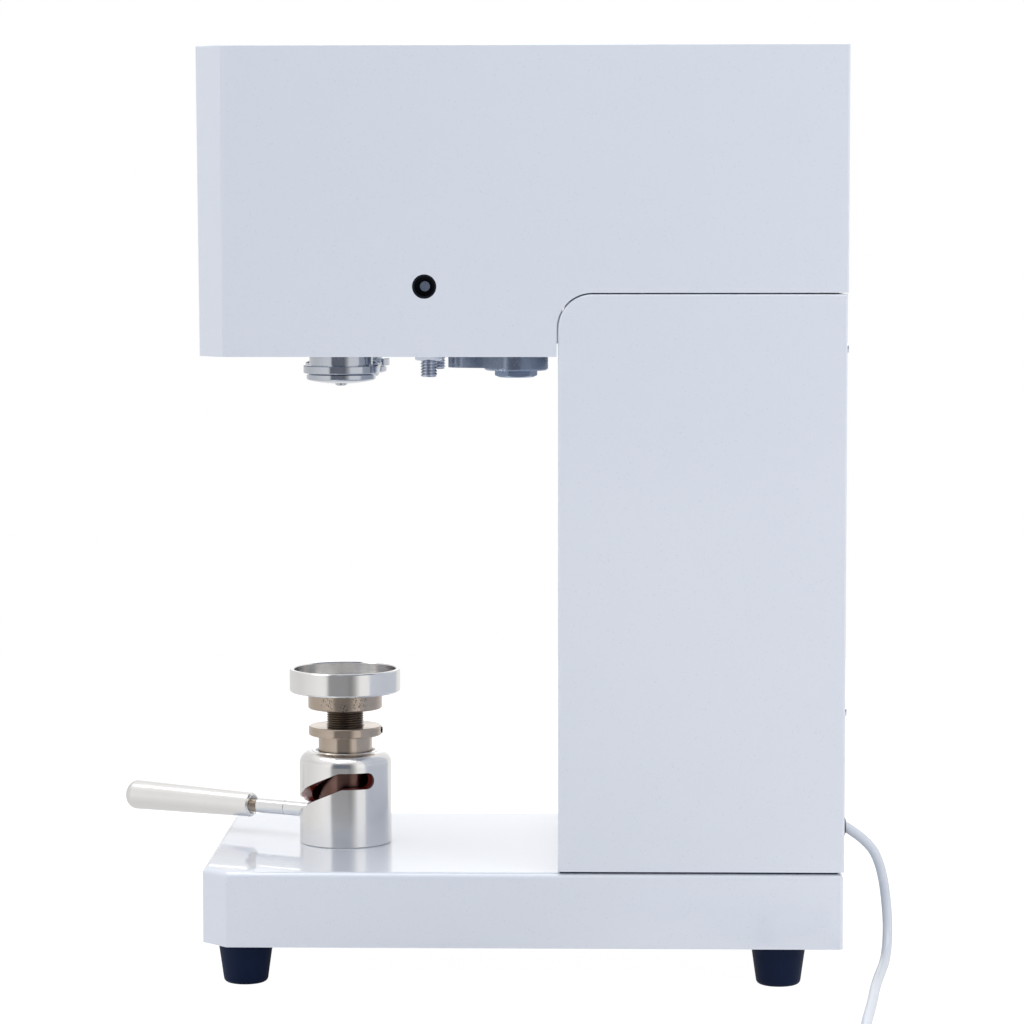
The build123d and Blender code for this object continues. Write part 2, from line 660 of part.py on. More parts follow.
def cover_screw_places():
    x = FRAME_WIDTH / 2 - COVER_SCREW_INSET
    heights = (COLUMN_LOW_Z + COVER_SCREW_RISE, SEAM_Z - COVER_SCREW_DROP)
    return [(side * x, z) for side in (-1, 1) for z in heights]


def spacer_posts():
    """Hexagon posts from the frame's rear face to the cover, and the board's round posts."""
    length = column_rear() - SHEET - FRAME_REAR_Y
    post = extrude(RegularPolygon(5, 6), length) - Pos(0, 0, length - 12) * extrude(Circle(2 + SLIP / 2), 13)
    posts = [Pos(x, FRAME_REAR_Y, z) * Rot(-90, 0, 0) * post for x, z in cover_screw_places()]
    posts += [disc(BOARD_POST_D, BASE_TOP_Z, BASE_TOP_Z + BOARD_POST, at) for at in board_post_places()]
    return group(posts)


def casing_screws():
    """Two screws hold the hood from the sides, and four hold the column's cover at the rear."""
    hood_screw = Pos(0, 0, 2) * cap_screw(4.3, 14, 0, up=False)
    screws = [side_place(side) * hood_screw for side in SIDES.values()]
    cover_screw = Rot(-90, 0, 0) * cap_screw(4, 10, 0, up=False)
    screws += [Pos(x, column_rear(), z) * cover_screw for x, z in cover_screw_places()]
    return group(screws)


# Hood
def hood_side():
    """The hood's outline from the side as (y, z): it steps up over the column's rounded corner."""
    half = math.sqrt(0.5)
    corner_y = COLUMN_FRONT_Y + COLUMN_CORNER_R
    corner_z = SEAM_Z - COLUMN_CORNER_R
    r = COLUMN_CORNER_R + SEAM_GAP
    edge_y = corner_y - r
    path = Polyline(
        (edge_y, corner_z), (edge_y, HOOD_BOTTOM_Z), (FRONT_Y + FRONT_LEAN, HOOD_BOTTOM_Z),
        (FRONT_Y, TOP_Z), (REAR_Y, TOP_Z), (REAR_Y, corner_z + r), (corner_y, corner_z + r),
    )
    path += ThreePointArc(
        (corner_y, corner_z + r), (corner_y - r * half, corner_z + r * half), (edge_y, corner_z)
    )
    return make_face(path)


def hood_plan(inset):
    """The hood's outline from above, with its front corners cut off."""
    depth = REAR_Y - FRONT_Y + 2 * FRONT_LEAN
    plan = Pos(0, REAR_Y - depth / 2) * Rectangle(WIDTH, depth)
    for side in (1, -1):
        x = side * HALF_WIDTH
        cut = Polyline(
            (x, FRONT_Y - 3 * FRONT_LEAN), (x, FRONT_Y + HOOD_CUT_Y),
            (x - side * HOOD_CUT_X, FRONT_Y), (x - side * HOOD_CUT_X, FRONT_Y - 3 * FRONT_LEAN), close=True,
        )
        plan -= make_face(cut)
    return offset(plan, -inset, kind=Kind.INTERSECTION) if inset else plan


def hood():
    height = TOP_Z - HOOD_BOTTOM_Z
    outer = along_x(hood_side(), HALF_WIDTH)
    outer &= Pos(0, 0, HOOD_BOTTOM_Z) * extrude(hood_plan(0), height)
    uprights = outer.edges().filter_by(Axis.Z)
    outer = fillet(uprights.filter_by(lambda edge: edge.length > height / 2), EDGE_R)
    outer = fillet(outer.faces().sort_by(Axis.Z)[-1].edges(), EDGE_R)
    inner = along_x(
        make_face(Polyline(
            (FRONT_Y + FRONT_LEAN + SHEET, HOOD_BOTTOM_Z - 1), (FRONT_Y + SHEET, TOP_Z - SHEET),
            (REAR_Y - SHEET, TOP_Z - SHEET), (REAR_Y - SHEET, HOOD_BOTTOM_Z - 1), close=True,
        )),
        HALF_WIDTH - SHEET,
    )
    inner &= Pos(0, 0, HOOD_BOTTOM_Z - 1) * extrude(hood_plan(SHEET), height)
    shell = outer - inner
    for side in SIDES.values():
        shell -= Pos(side * HALF_WIDTH, PIVOT_Y, ACCESS_HOLE_Z) * Rot(0, 90, 0) * Cylinder(
            ACCESS_HOLE_D / 2, 4 * SHEET
        )
    button = button_place()
    shell -= button * Cylinder(BUTTON_BODY_D / 2 + SLIP, 6 * SHEET)
    return shell


def side_place(side):
    """A frame on the head plate's side face, with its local Z pointing out of the machine."""
    return Pos(side * PLATE_HALF_WIDTH, PIVOT_Y, ACCESS_HOLE_Z) * Rot(0, side * 90, 0)


def hood_cups():
    """Black sleeves that line the access holes and hold the hood off the head plate."""
    reach = HALF_WIDTH - PLATE_HALF_WIDTH
    cup = disc(ACCESS_HOLE_D - 2 * SLIP, 0, reach)
    cup += disc(ACCESS_HOLE_D + 4, reach - SHEET - 1.5, reach - SHEET)
    cup -= disc(ACCESS_HOLE_D - 2.4, 2, reach + 1)
    cup -= disc(4.5, -1, 3)
    return group(side_place(side) * cup for side in SIDES.values())


# Seaming head
def head_plate():
    depth = FRAME_REAR_Y - PLATE_FRONT_Y
    outline = Pos(0, PLATE_FRONT_Y + depth / 2) * Rectangle(2 * PLATE_HALF_WIDTH, depth)
    outline = chamfer(outline.vertices().sort_by(Axis.Y)[:2], PLATE_CUT)
    plate = Pos(0, 0, PLATE_BOTTOM_Z) * extrude(outline, PLATE_THICK)
    bores = [(HOUSING_D + 2 * SLIP, (0, 0)), (CAM_SHAFT_D + 8 + SLIP, (0, CAM_Y)), (40, (0, MOTOR_Y))]
    bores += [(STUD_D + SLIP, (side * ROLLER_X, PIVOT_Y)) for side in SIDES.values()]
    bores += [(8.4, at) for at in FRAME_BOLTS]
    for diameter, at in bores:
        plate -= disc(diameter, PLATE_BOTTOM_Z - 1, PLATE_TOP_Z + 1, at)
    for at in housing_screw_places():
        plate -= disc(5 + SLIP, PLATE_BOTTOM_Z - 1, PLATE_BOTTOM_Z + 12, at)
    for side in SIDES.values():
        plate -= side_place(side) * disc(4.3 + SLIP, -14, 1)
    return plate


def housing_screw_places():
    return [(loc.position.X, loc.position.Y) for loc in PolarLocations(HOUSING_SCREW_CIRCLE_D / 2, 4, 45)]


def spindle_housing():
    flange_z = PLATE_BOTTOM_Z - HOUSING_FLANGE
    housing = disc(HOUSING_D, HOUSING_BOTTOM_Z, PLATE_TOP_Z)
    housing += disc(HOUSING_FLANGE_D, flange_z, PLATE_BOTTOM_Z)
    housing -= disc(BEARING_D, HOUSING_BOTTOM_Z - 1, PLATE_TOP_Z + 1)
    shoulder = (HOUSING_BOTTOM_Z + BEARING_WIDTH, PLATE_TOP_Z - BEARING_WIDTH)
    housing += disc(BEARING_D + 2, *shoulder, bore=SPINDLE_D + 6)
    for at in housing_screw_places():
        housing -= disc(5.4, flange_z - 1, PLATE_BOTTOM_Z + 1, at)
    return housing


def head_screws():
    """The screws of the spindle housing, and those that hold the head plate on the frame."""
    under_head = PLATE_BOTTOM_Z - HOUSING_FLANGE
    length = PLATE_THICK + FRAME_LUG_HEIGHT - 2
    screws = [cap_screw(FRAME_BOLT_D, length, PLATE_TOP_Z, at, up=False) for at in FRAME_BOLTS]
    for at in housing_screw_places():
        screw = disc(8, under_head - 2.4, under_head, at) + disc(5, under_head, under_head + 13, at)
        screws.append(screw)
    return group(screws)


def head_bearings():
    """The spindle's two bearings and the cam shaft's bush."""
    cam_bore = CAM_SHAFT_D + 2 * RUN
    rings = [disc(CAM_SHAFT_D + 8, PLATE_BOTTOM_Z, PLATE_TOP_Z, (0, CAM_Y), cam_bore)]
    for low in (HOUSING_BOTTOM_Z, PLATE_TOP_Z - BEARING_WIDTH):
        ring = disc(BEARING_D - SLIP, low, low + BEARING_WIDTH, bore=SPINDLE_D + 2 * RUN)
        rings.append(chamfer(ring.edges().filter_by(GeomType.CIRCLE), 0.5))
    return group(rings)


def seaming_chuck():
    """The chuck that enters the can's lid: a tapered nose under a lip, on a plain shank."""
    nose = CHUCK_NOSE_D / 2
    lip = CHUCK_D / 2
    bore = ROLLER_SHANK_D / 2 + RUN
    chuck = turned(
        [
            (bore, CHUCK_TOP_Z), (bore, CHUCK_BOTTOM_Z + 6), (7.6, CHUCK_BOTTOM_Z + 6),
            (7.6, CHUCK_BOTTOM_Z + 3.4), (15, CHUCK_BOTTOM_Z + 3.4), (17, CHUCK_BOTTOM_Z),
            (nose - 1, CHUCK_BOTTOM_Z),
            (nose, CHUCK_BOTTOM_Z + 1), (lip - 0.6, CHUCK_LIP_Z - 2), (lip, CHUCK_LIP_Z - 1.4),
            (lip, CHUCK_LIP_Z), (19, CHUCK_LIP_Z + 2.5), (19, CHUCK_TOP_Z),
        ]
    )
    return chuck


def spindle_fixings():
    """The screw that clamps the chuck on the spindle, and the nut on the pulley."""
    screw = disc(14, CHUCK_BOTTOM_Z + 0.6, CHUCK_BOTTOM_Z + 5.5)
    screw -= extrude(Pos(0, 0, CHUCK_BOTTOM_Z + 0.6) * RegularPolygon(3.5, 6), 3)
    screw += disc(8, CHUCK_BOTTOM_Z + 5.5, CHUCK_BOTTOM_Z + 16)
    nut_low = BELT_Z + BELT_WIDTH + PULLEY_FLANGE
    return group([screw, hexagon(30, nut_low, nut_low + 8, bore=18 + SLIP)])


def spindle_shaft():
    nut_room = 8
    shaft = disc(ROLLER_SHANK_D, CHUCK_BOTTOM_Z + 6.5, CHUCK_TOP_Z)
    shaft -= disc(8 + SLIP, CHUCK_BOTTOM_Z + 6, CHUCK_BOTTOM_Z + 17)
    shaft += disc(SPINDLE_D, CHUCK_TOP_Z, BELT_Z + BELT_WIDTH + PULLEY_FLANGE)
    top = BELT_Z + BELT_WIDTH + PULLEY_FLANGE
    return shaft + disc(18, top, top + nut_room + 2)


def pulley(diameter, bore, web, at=(0, 0)):
    """A flat-belt pulley with a lip at each side, and a thin web where it is large."""
    low = BELT_Z - PULLEY_FLANGE
    high = BELT_Z + BELT_WIDTH + PULLEY_FLANGE
    lip = diameter / 2 + PULLEY_LIP
    wheel = turned(
        [
            (bore / 2, low), (lip, low), (lip, BELT_Z), (diameter / 2, BELT_Z),
            (diameter / 2, BELT_Z + BELT_WIDTH), (lip, BELT_Z + BELT_WIDTH), (lip, high), (bore / 2, high),
        ],
    )
    if web:
        wheel -= disc(diameter - 12, high - web, high + 1, bore=bore + 16)
        wheel -= disc(diameter - 12, low - 1, low + web, bore=bore + 16)
        for loc in PolarLocations((diameter - 12 + bore + 16) / 4, 6):
            wheel -= disc(17, low, high, (loc.position.X, loc.position.Y))
    return Pos(at[0], at[1], 0) * wheel


def drive_belt():
    """A flat belt round both pulleys, a running gap off their rims."""
    small_r = MOTOR_PULLEY_D / 2 + SEAT
    large_r = SPINDLE_PULLEY_D / 2 + SEAT
    low = BELT_Z + 0.4
    high = BELT_Z + BELT_WIDTH - 0.4
    outer = hull([(0, 0, large_r + BELT_THICK), (0, MOTOR_Y, small_r + BELT_THICK)], low, high)
    return outer - hull([(0, 0, large_r), (0, MOTOR_Y, small_r)], low - 1, high + 1)


def main_motor():
    top = PLATE_BOTTOM_Z
    low = top - MOTOR_LENGTH
    at = (0, MOTOR_Y)
    motor = disc(MOTOR_D - 4, low, top - 6, at)
    motor += disc(MOTOR_D, low, low + 26, at) + disc(MOTOR_D, top - 34, top - 6, at)
    motor += disc(MOTOR_FLANGE_D, top - 6, top, at)
    motor += disc(39, top, top + 4, at)
    return motor - disc(MOTOR_SHAFT_D + 2 * RUN, low - 1, top + 6, at)


def motor_shaft():
    """The motor's shaft with its fan."""
    low = PLATE_BOTTOM_Z - MOTOR_LENGTH - FAN_HEIGHT - 4
    high = BELT_Z + BELT_WIDTH + PULLEY_FLANGE + 3
    return group([disc(MOTOR_SHAFT_D, low, high, (0, MOTOR_Y)), fan()])


def fan():
    """The cooling fan on the motor's lower end."""
    high = PLATE_BOTTOM_Z - MOTOR_LENGTH - 2
    low = high - FAN_HEIGHT
    wheel = disc(30, low, high) + disc(FAN_D, high - 2, high)
    blade = block((12, -1, low), (FAN_D / 2, 1, high - 1))
    for turn in range(8):
        wheel += Rot(0, 0, 45 * turn) * blade
    wheel -= disc(MOTOR_SHAFT_D + SLIP, low - 1, high + 1)
    return Pos(0, MOTOR_Y, 0) * wheel


def cam_gearmotor():
    flange_top = PLATE_TOP_Z + 5
    side = GEARMOTOR_FLANGE
    motor = block((-side / 2, CAM_Y - side / 2, PLATE_TOP_Z), (side / 2, CAM_Y + side / 2, flange_top))
    motor = fillet(motor.edges().filter_by(Axis.Z), 8)
    motor += disc(GEARMOTOR_D, flange_top, PLATE_TOP_Z + GEARMOTOR_HEIGHT, (0, CAM_Y))
    motor += disc(GEARMOTOR_D - 14, flange_top, PLATE_TOP_Z + GEARMOTOR_HEIGHT + 10, (0, CAM_Y))
    return motor - disc(CAM_SHAFT_D + 2 * RUN, PLATE_TOP_Z - 1, PLATE_TOP_Z + 24, (0, CAM_Y))


def cam_shaft():
    """The cam's shaft and the nut on its threaded lower end."""
    at = (0, CAM_Y)
    shaft = disc(CAM_SHAFT_D, CAM_NUT_Z + 1.2, PLATE_TOP_Z + 22, at)
    shaft = chamfer(shaft.edges().filter_by(GeomType.CIRCLE), 1.0)
    nut_top = CAM_NUT_Z + CAM_NUT_HEIGHT
    nut = hexagon(CAM_NUT_FLATS, CAM_NUT_Z, nut_top, at, CAM_SHAFT_D + SLIP, CAM_NUT_TURN)
    return group([shaft, nut])


def seaming_cam():
    """The cam: a round boss with one lobe, which swings to either side to press an arm."""
    at = (0, CAM_Y)
    top = PLATE_BOTTOM_Z - 1
    cam = disc(CAM_BOSS_D, CAM_BOSS_Z, top, at)
    cam = chamfer(cam.edges().filter_by(GeomType.CIRCLE), 1.0)
    tip_y = CAM_Y - CAM_LOBE_REACH + CAM_TIP_R
    cam += hull([(0, CAM_Y, CAM_BOSS_D / 2 - 0.2), (0, tip_y, CAM_TIP_R)], CAM_LOBE_Z, FOLLOWER_TOP_Z)
    cam -= disc(CAM_SHAFT_D + SLIP, CAM_BOSS_Z - 1, top + 1, at)
    return cam - disc(2 * CAM_NUT_FLATS / math.sqrt(3) + 1, CAM_BOSS_Z - 1, CAM_NUT_Z + CAM_NUT_HEIGHT, at)


# Arms, one each side; side is 1 on the right and -1 on the left
def arm_bush_bores(side):
    return [((side * ROLLER_X, ROLLER_Y), 26), ((side * ROLLER_X, PIVOT_Y), 22)]


def seaming_arm(side):
    circles = [
        (side * ROLLER_X, ROLLER_Y, ARM_HEAD_R), (side * ROLLER_X, PIVOT_Y, ARM_PIVOT_R),
        (side * FOLLOWER_X, CAM_Y, ARM_TAIL_R),
    ]
    front = hull(circles[:2], ARM_BOTTOM_Z, ARM_TOP_Z)
    arm = front + hull(circles[1:], ARM_BOTTOM_Z, ARM_TOP_Z)
    for at, bore in arm_bush_bores(side):
        arm -= disc(bore, ARM_BOTTOM_Z - 1, ARM_TOP_Z + 1, at)
    return arm - disc(FOLLOWER_PIN_D + SLIP, ARM_BOTTOM_Z - 1, ARM_TOP_Z + 1, (side * FOLLOWER_X, CAM_Y))


def arm_fittings(side):
    """The arm's two bronze bushes and the pin that its follower turns on."""
    shaft_sizes = (ROLLER_SHANK_D, STUD_D)
    pieces = []
    for (at, bore), shaft_d in zip(arm_bush_bores(side), shaft_sizes):
        pieces.append(disc(bore - SLIP, ARM_BOTTOM_Z, ARM_TOP_Z, at, shaft_d + 2 * RUN))
    at = (side * FOLLOWER_X, CAM_Y)
    head_top = FOLLOWER_LOW_Z - SEAT
    pin = disc(FOLLOWER_PIN_D, head_top, ARM_TOP_Z, at) + disc(FOLLOWER_PIN_D + 5, head_top - 2, head_top, at)
    return group([*pieces, pin])


def pivot_stud(side):
    """The arm's pivot: held in the head plate, with a thread and nut at its lower end."""
    at = (side * ROLLER_X, PIVOT_Y)
    stud = disc(STUD_D, ARM_BOTTOM_Z - 1, PLATE_TOP_Z, at)
    stud += disc(STUD_D + 10, ARM_TOP_Z + SEAT, PLATE_BOTTOM_Z, at)
    thread = disc(STUD_THREAD_D, STUD_TIP_Z, ARM_BOTTOM_Z - 1, at)
    thread = chamfer(thread.edges().filter_by(GeomType.CIRCLE).sort_by(Axis.Z)[0], 0.9)
    return stud + thread


def pivot_nuts():
    """Each pivot's nut, with the washer that lies on it."""
    top = STUD_NUT_BOTTOM_Z + STUD_NUT_HEIGHT
    bore = STUD_THREAD_D + SLIP
    pieces = []
    for side in SIDES.values():
        at = (side * ROLLER_X, PIVOT_Y)
        pieces.append(hexagon(STUD_NUT_FLATS, STUD_NUT_BOTTOM_Z, top, at, bore))
        pieces.append(disc(PIVOT_WASHER_D, top, top + PIVOT_WASHER, at, bore))
    return group(pieces)


def arm_spring(side):
    """The coil round the pivot that swings the arm back."""
    low = STUD_NUT_BOTTOM_Z + STUD_NUT_HEIGHT + PIVOT_WASHER + SPRING_WIRE_D / 2 + SEAT
    high = ARM_BOTTOM_Z - SPRING_WIRE_D / 2 - SEAT
    radius = (STUD_THREAD_D + 8 + SPRING_WIRE_D) / 2
    coil = Helix(pitch=(high - low) / SPRING_TURNS, height=high - low, radius=radius)
    section = Plane(origin=coil @ 0, z_dir=coil % 0) * Circle(SPRING_WIRE_D / 2)
    wire = sweep(section, path=coil, is_frenet=True)
    return Pos(side * ROLLER_X, PIVOT_Y, low) * wire


def seaming_roller(side):
    """The roller that folds the lid's edge: a grooved rim under a plain hub."""
    dome_edge = ROLLER_LOWER_D / 2
    flange = ROLLER_D / 2
    shank = ROLLER_SHANK_D / 2
    bore = ROLLER_SCREW_D / 2 - 1.2
    top = ARM_BOTTOM_Z - FREE
    roller = turned(
        [
            (bore, ROLLER_DOME_Z + 0.6), (7, ROLLER_DOME_Z + 0.1), (13, ROLLER_DOME_Z + 0.7),
            (18.4, ROLLER_DOME_Z + 1.6), (dome_edge - 0.7, ROLLER_LOWER_Z - 0.3),
            (dome_edge, ROLLER_LOWER_Z + 0.4), (dome_edge, ROLLER_FLANGE_Z - 1.0),
            (ROLLER_GROOVE_D / 2, ROLLER_FLANGE_Z - 0.6), (ROLLER_GROOVE_D / 2 + 0.6, ROLLER_FLANGE_Z),
            (flange - 0.4, ROLLER_FLANGE_Z), (flange, ROLLER_FLANGE_Z + 0.4), (flange, ROLLER_HUB_Z - 0.3),
            (flange - 0.3, ROLLER_HUB_Z), (ROLLER_HUB_D / 2 - 1.2, ROLLER_HUB_Z),
            (ROLLER_HUB_D / 2 - 1.2, ROLLER_HUB_Z + 0.7), (ROLLER_HUB_D / 2, ROLLER_HUB_Z + 0.7),
            (ROLLER_HUB_D / 2, top - 0.5), (ROLLER_HUB_D / 2 - 0.5, top), (shank, top),
            (shank, ARM_TOP_Z + 3), (bore, ARM_TOP_Z + 3),
        ],
        (side * ROLLER_X, ROLLER_Y),
    )
    return roller


def roller_fixings(side):
    """The screw whose round tip shows under the roller, and the clip on the shank's top."""
    at = (side * ROLLER_X, ROLLER_Y)
    clip = disc(ROLLER_SHANK_D + 6, ARM_TOP_Z + SEAT, ARM_TOP_Z + 2, at, ROLLER_SHANK_D + SLIP)
    bore = ROLLER_SCREW_D - 2.4
    head = turned(
        [
            (0, ROLLER_TIP_Z), (2.4, ROLLER_TIP_Z + 0.25), (3.6, ROLLER_TIP_Z + 0.9),
            (ROLLER_SCREW_D / 2, ROLLER_DOME_Z + 0.2), (ROLLER_SCREW_D / 2 - 1.3, ROLLER_DOME_Z + 0.5),
            (0, ROLLER_DOME_Z + 0.5),
        ],
        at,
    )
    return group([head + disc(bore - SLIP, ROLLER_DOME_Z + 0.5, ROLLER_DOME_Z + 26, at), clip])


def cam_follower(side):
    at = (side * FOLLOWER_X, CAM_Y)
    roller = disc(FOLLOWER_D, FOLLOWER_LOW_Z, FOLLOWER_TOP_Z, at, FOLLOWER_PIN_D + 2 * RUN)
    return chamfer(roller.edges().filter_by(GeomType.CIRCLE), 0.5)


# Controls
def button_place():
    """A frame on the hood's front face, with its local Z pointing out."""
    slope = FRONT_LEAN / (TOP_Z - HOOD_BOTTOM_Z)
    front = FRONT_Y + slope * (TOP_Z - BUTTON_Z)
    return Pos(0, front, BUTTON_Z) * Rot(90 + math.degrees(math.atan(slope)), 0, 0)


def start_button_body():
    """The button's bezel and threaded body, and the nut behind the hood's wall."""
    body = disc(BUTTON_BODY_D - SLIP, -22, 1) + disc(BUTTON_BEZEL_D, 0, 2.8)
    body = chamfer(body.edges().filter_by(GeomType.CIRCLE).sort_by(Axis.Z)[-1], 0.7)
    body -= disc(BUTTON_CAP_D + 2 * SLIP, -8, 4)
    nut_top = -SHEET - SEAT
    return button_place() * group([body, hexagon(20, nut_top - 4, nut_top, bore=BUTTON_BODY_D + SLIP)])


def start_button_cap():
    cap = disc(BUTTON_CAP_D, -8 + BUTTON_TRAVEL + SEAT, 5.6)
    cap = fillet(cap.edges().filter_by(GeomType.CIRCLE).sort_by(Axis.Z)[-1], 1.0)
    return button_place() * cap


def switch_pivot():
    """A frame on the rocker's pivot, with its local Z along the machine's X."""
    return Pos(SWITCH_X, column_rear() - 4, SWITCH_Z) * Rot(0, 90, 0)


def power_switch():
    rear = column_rear()
    body = block(
        (SWITCH_X - SWITCH_WIDTH / 2, rear - SWITCH_DEPTH, SWITCH_Z - SWITCH_HEIGHT / 2),
        (SWITCH_X + SWITCH_WIDTH / 2, rear, SWITCH_Z + SWITCH_HEIGHT / 2),
    )
    rim = block(
        (SWITCH_X - SWITCH_WIDTH / 2 - 2, rear, SWITCH_Z - SWITCH_HEIGHT / 2 - 2),
        (SWITCH_X + SWITCH_WIDTH / 2 + 2, rear + SWITCH_RIM, SWITCH_Z + SWITCH_HEIGHT / 2 + 2),
    )
    body += chamfer(rim.faces().sort_by(Axis.Y)[-1].edges(), 0.8)
    return body - switch_pivot() * Cylinder(ROCKER_R + SEAT, ROCKER_WIDTH + 2 * SEAT)


def switch_rocker():
    """The rocker: a drum whose face is a shallow V, tilted to its off side."""
    face = Circle(ROCKER_R) & make_face(
        Polyline((-14, -14), (14, -14), (10, 7.4), (0, 5.4), (-10, 7.4), (-14, 7.4), close=True)
    )
    return switch_pivot() * Rot(0, 0, -ROCKER_TURN / 2) * extrude(face, ROCKER_WIDTH / 2, both=True)


def cord_gland():
    rear = column_rear()
    dome = turned(
        [
            (0, 0), (GLAND_D / 2, 0), (GLAND_D / 2, 2.2), (GLAND_D / 2 - 0.8, 3.8), (GLAND_D / 2 - 2.6, 5.4),
            (GLAND_D / 2 - 5.2, 7.0), (CORD_D / 2 + 1.2, GLAND_HEIGHT), (0, GLAND_HEIGHT),
        ]
    )
    dome += disc(GLAND_NECK_D, -SHEET - 1, 0)
    dome += disc(GLAND_NECK_D + 6, -SHEET - 5, -SHEET - SEAT)
    return Pos(0, rear, GLAND_Z) * Rot(-90, 0, 0) * dome


def control_board():
    """The circuit board in the frame's foot, with its larger components."""
    low = BASE_TOP_Z + BOARD_POST
    top = low + BOARD_THICK
    half = BOARD_HALF
    board = block((-half, -half, low), (half, half, top))
    board += block((-half + 8, -half + 10, top), (-5, 0, top + 20))
    board += block((8, -half + 8, top), (half - 8, -half + 28, top + 14))
    for row in range(3):
        board += block((-half + 8 + 24 * row, half - 22, top), (-half + 24 + 24 * row, half - 8, top + 12))
    for x in (14, 34):
        board += disc(16, top, top + 22, (x, 0))
    return Pos(0, MOTOR_Y, 0) * board


def board_post_places():
    reach = BOARD_HALF - BOARD_POST_INSET
    return [(x, MOTOR_Y + y) for x in (-reach, reach) for y in (-reach, reach)]


# Power cord, from the gland down to the bench and along it to a coil
CORD_FLOOR = CORD_D / 2 + 0.1
CORD_POINTS = [
    (0, 324.0, 87.0), (0, 341.0, 77.0), (0, 350.0, 59.5), (2.0, 353.8, 31.4),
    (12.2, 353.4, 13.4), (30, 350.5, CORD_FLOOR), (62, 345.5, CORD_FLOOR), (108, 338.6, CORD_FLOOR),
    (158, 333.0, CORD_FLOOR), (208, 326.2, CORD_FLOOR), (262, 320.2, CORD_FLOOR), (312, 318.5, CORD_FLOOR),
]


def cord_radii():
    """Each bend's radius, as large as its two runs allow."""
    points = [Vector(*p) for p in CORD_POINTS]
    radii = []
    for before, corner, after in zip(points, points[1:], points[2:]):
        turn = math.radians((corner - before).get_angle(after - corner))
        run = min((corner - before).length, (after - corner).length)
        radii.append(0.45 * run / math.tan(turn / 2))
    return radii


def power_cord():
    radii = cord_radii()
    path = FilletPolyline(*CORD_POINTS, radius=radii)
    tube = sweep(Plane(origin=path @ 0, z_dir=path % 0) * Circle(CORD_D / 2), path=path)
    full = path.length * math.pi * CORD_D**2 / 4
    print("cord radii", [round(r, 1) for r in radii], "length", round(path.length, 1))
    print("cord volume over section times length", round(tube.volume / full, 4))
    return tube


def cord_coil():
    """The outer shape of the coil that holds the rest of the cord."""
    outer = 2 * COIL_RADII[-1] + CORD_D
    inner = 2 * COIL_RADII[0] - CORD_D
    height = COIL_LAYERS * CORD_D + 0.1
    ring = disc(outer, 0, height, (COIL_X, COIL_Y), inner)
    return fillet(ring.edges().filter_by(GeomType.CIRCLE), 2.5)


def plug_place():
    """A frame where the cord leaves the coil's outer turn, with its local Z along the plug."""
    tip = Pos(COIL_X + COIL_RADII[-1], COIL_Y - PLUG_TIP_RUN, PLUG_THICK / 2)
    return tip * Rot(90, 0, 0) * Rot(0, 0, 90)


def cord_plug():
    """A moulded plug with a tapered strain relief and three pins."""
    upward = (Align.CENTER, Align.CENTER, Align.MIN)
    relief = Cone(CORD_D / 2 + 0.4, CORD_D / 2 + 3, PLUG_RELIEF, align=upward)
    end = PLUG_RELIEF + PLUG_LENGTH
    shoulder = Pos(0, 0, PLUG_RELIEF) * RectangleRounded(0.7 * PLUG_THICK, 0.7 * PLUG_WIDTH, 5)
    waist = Pos(0, 0, PLUG_RELIEF + PLUG_LENGTH / 3) * RectangleRounded(PLUG_THICK, PLUG_WIDTH, 7)
    face = Pos(0, 0, end) * RectangleRounded(PLUG_THICK, PLUG_WIDTH, 7)
    plug = relief + loft([shoulder, waist], ruled=True) + loft([waist, face], ruled=True)
    for side in (1, -1):
        plug += block((-3.2, side * 6.35 - 0.75, end - 1), (3.2, side * 6.35 + 0.75, end + BLADE_LENGTH))
    plug += Pos(-5.6, 0, end - 1) * extrude(Circle(2.4), BLADE_LENGTH + 3)
    return plug_place() * plug


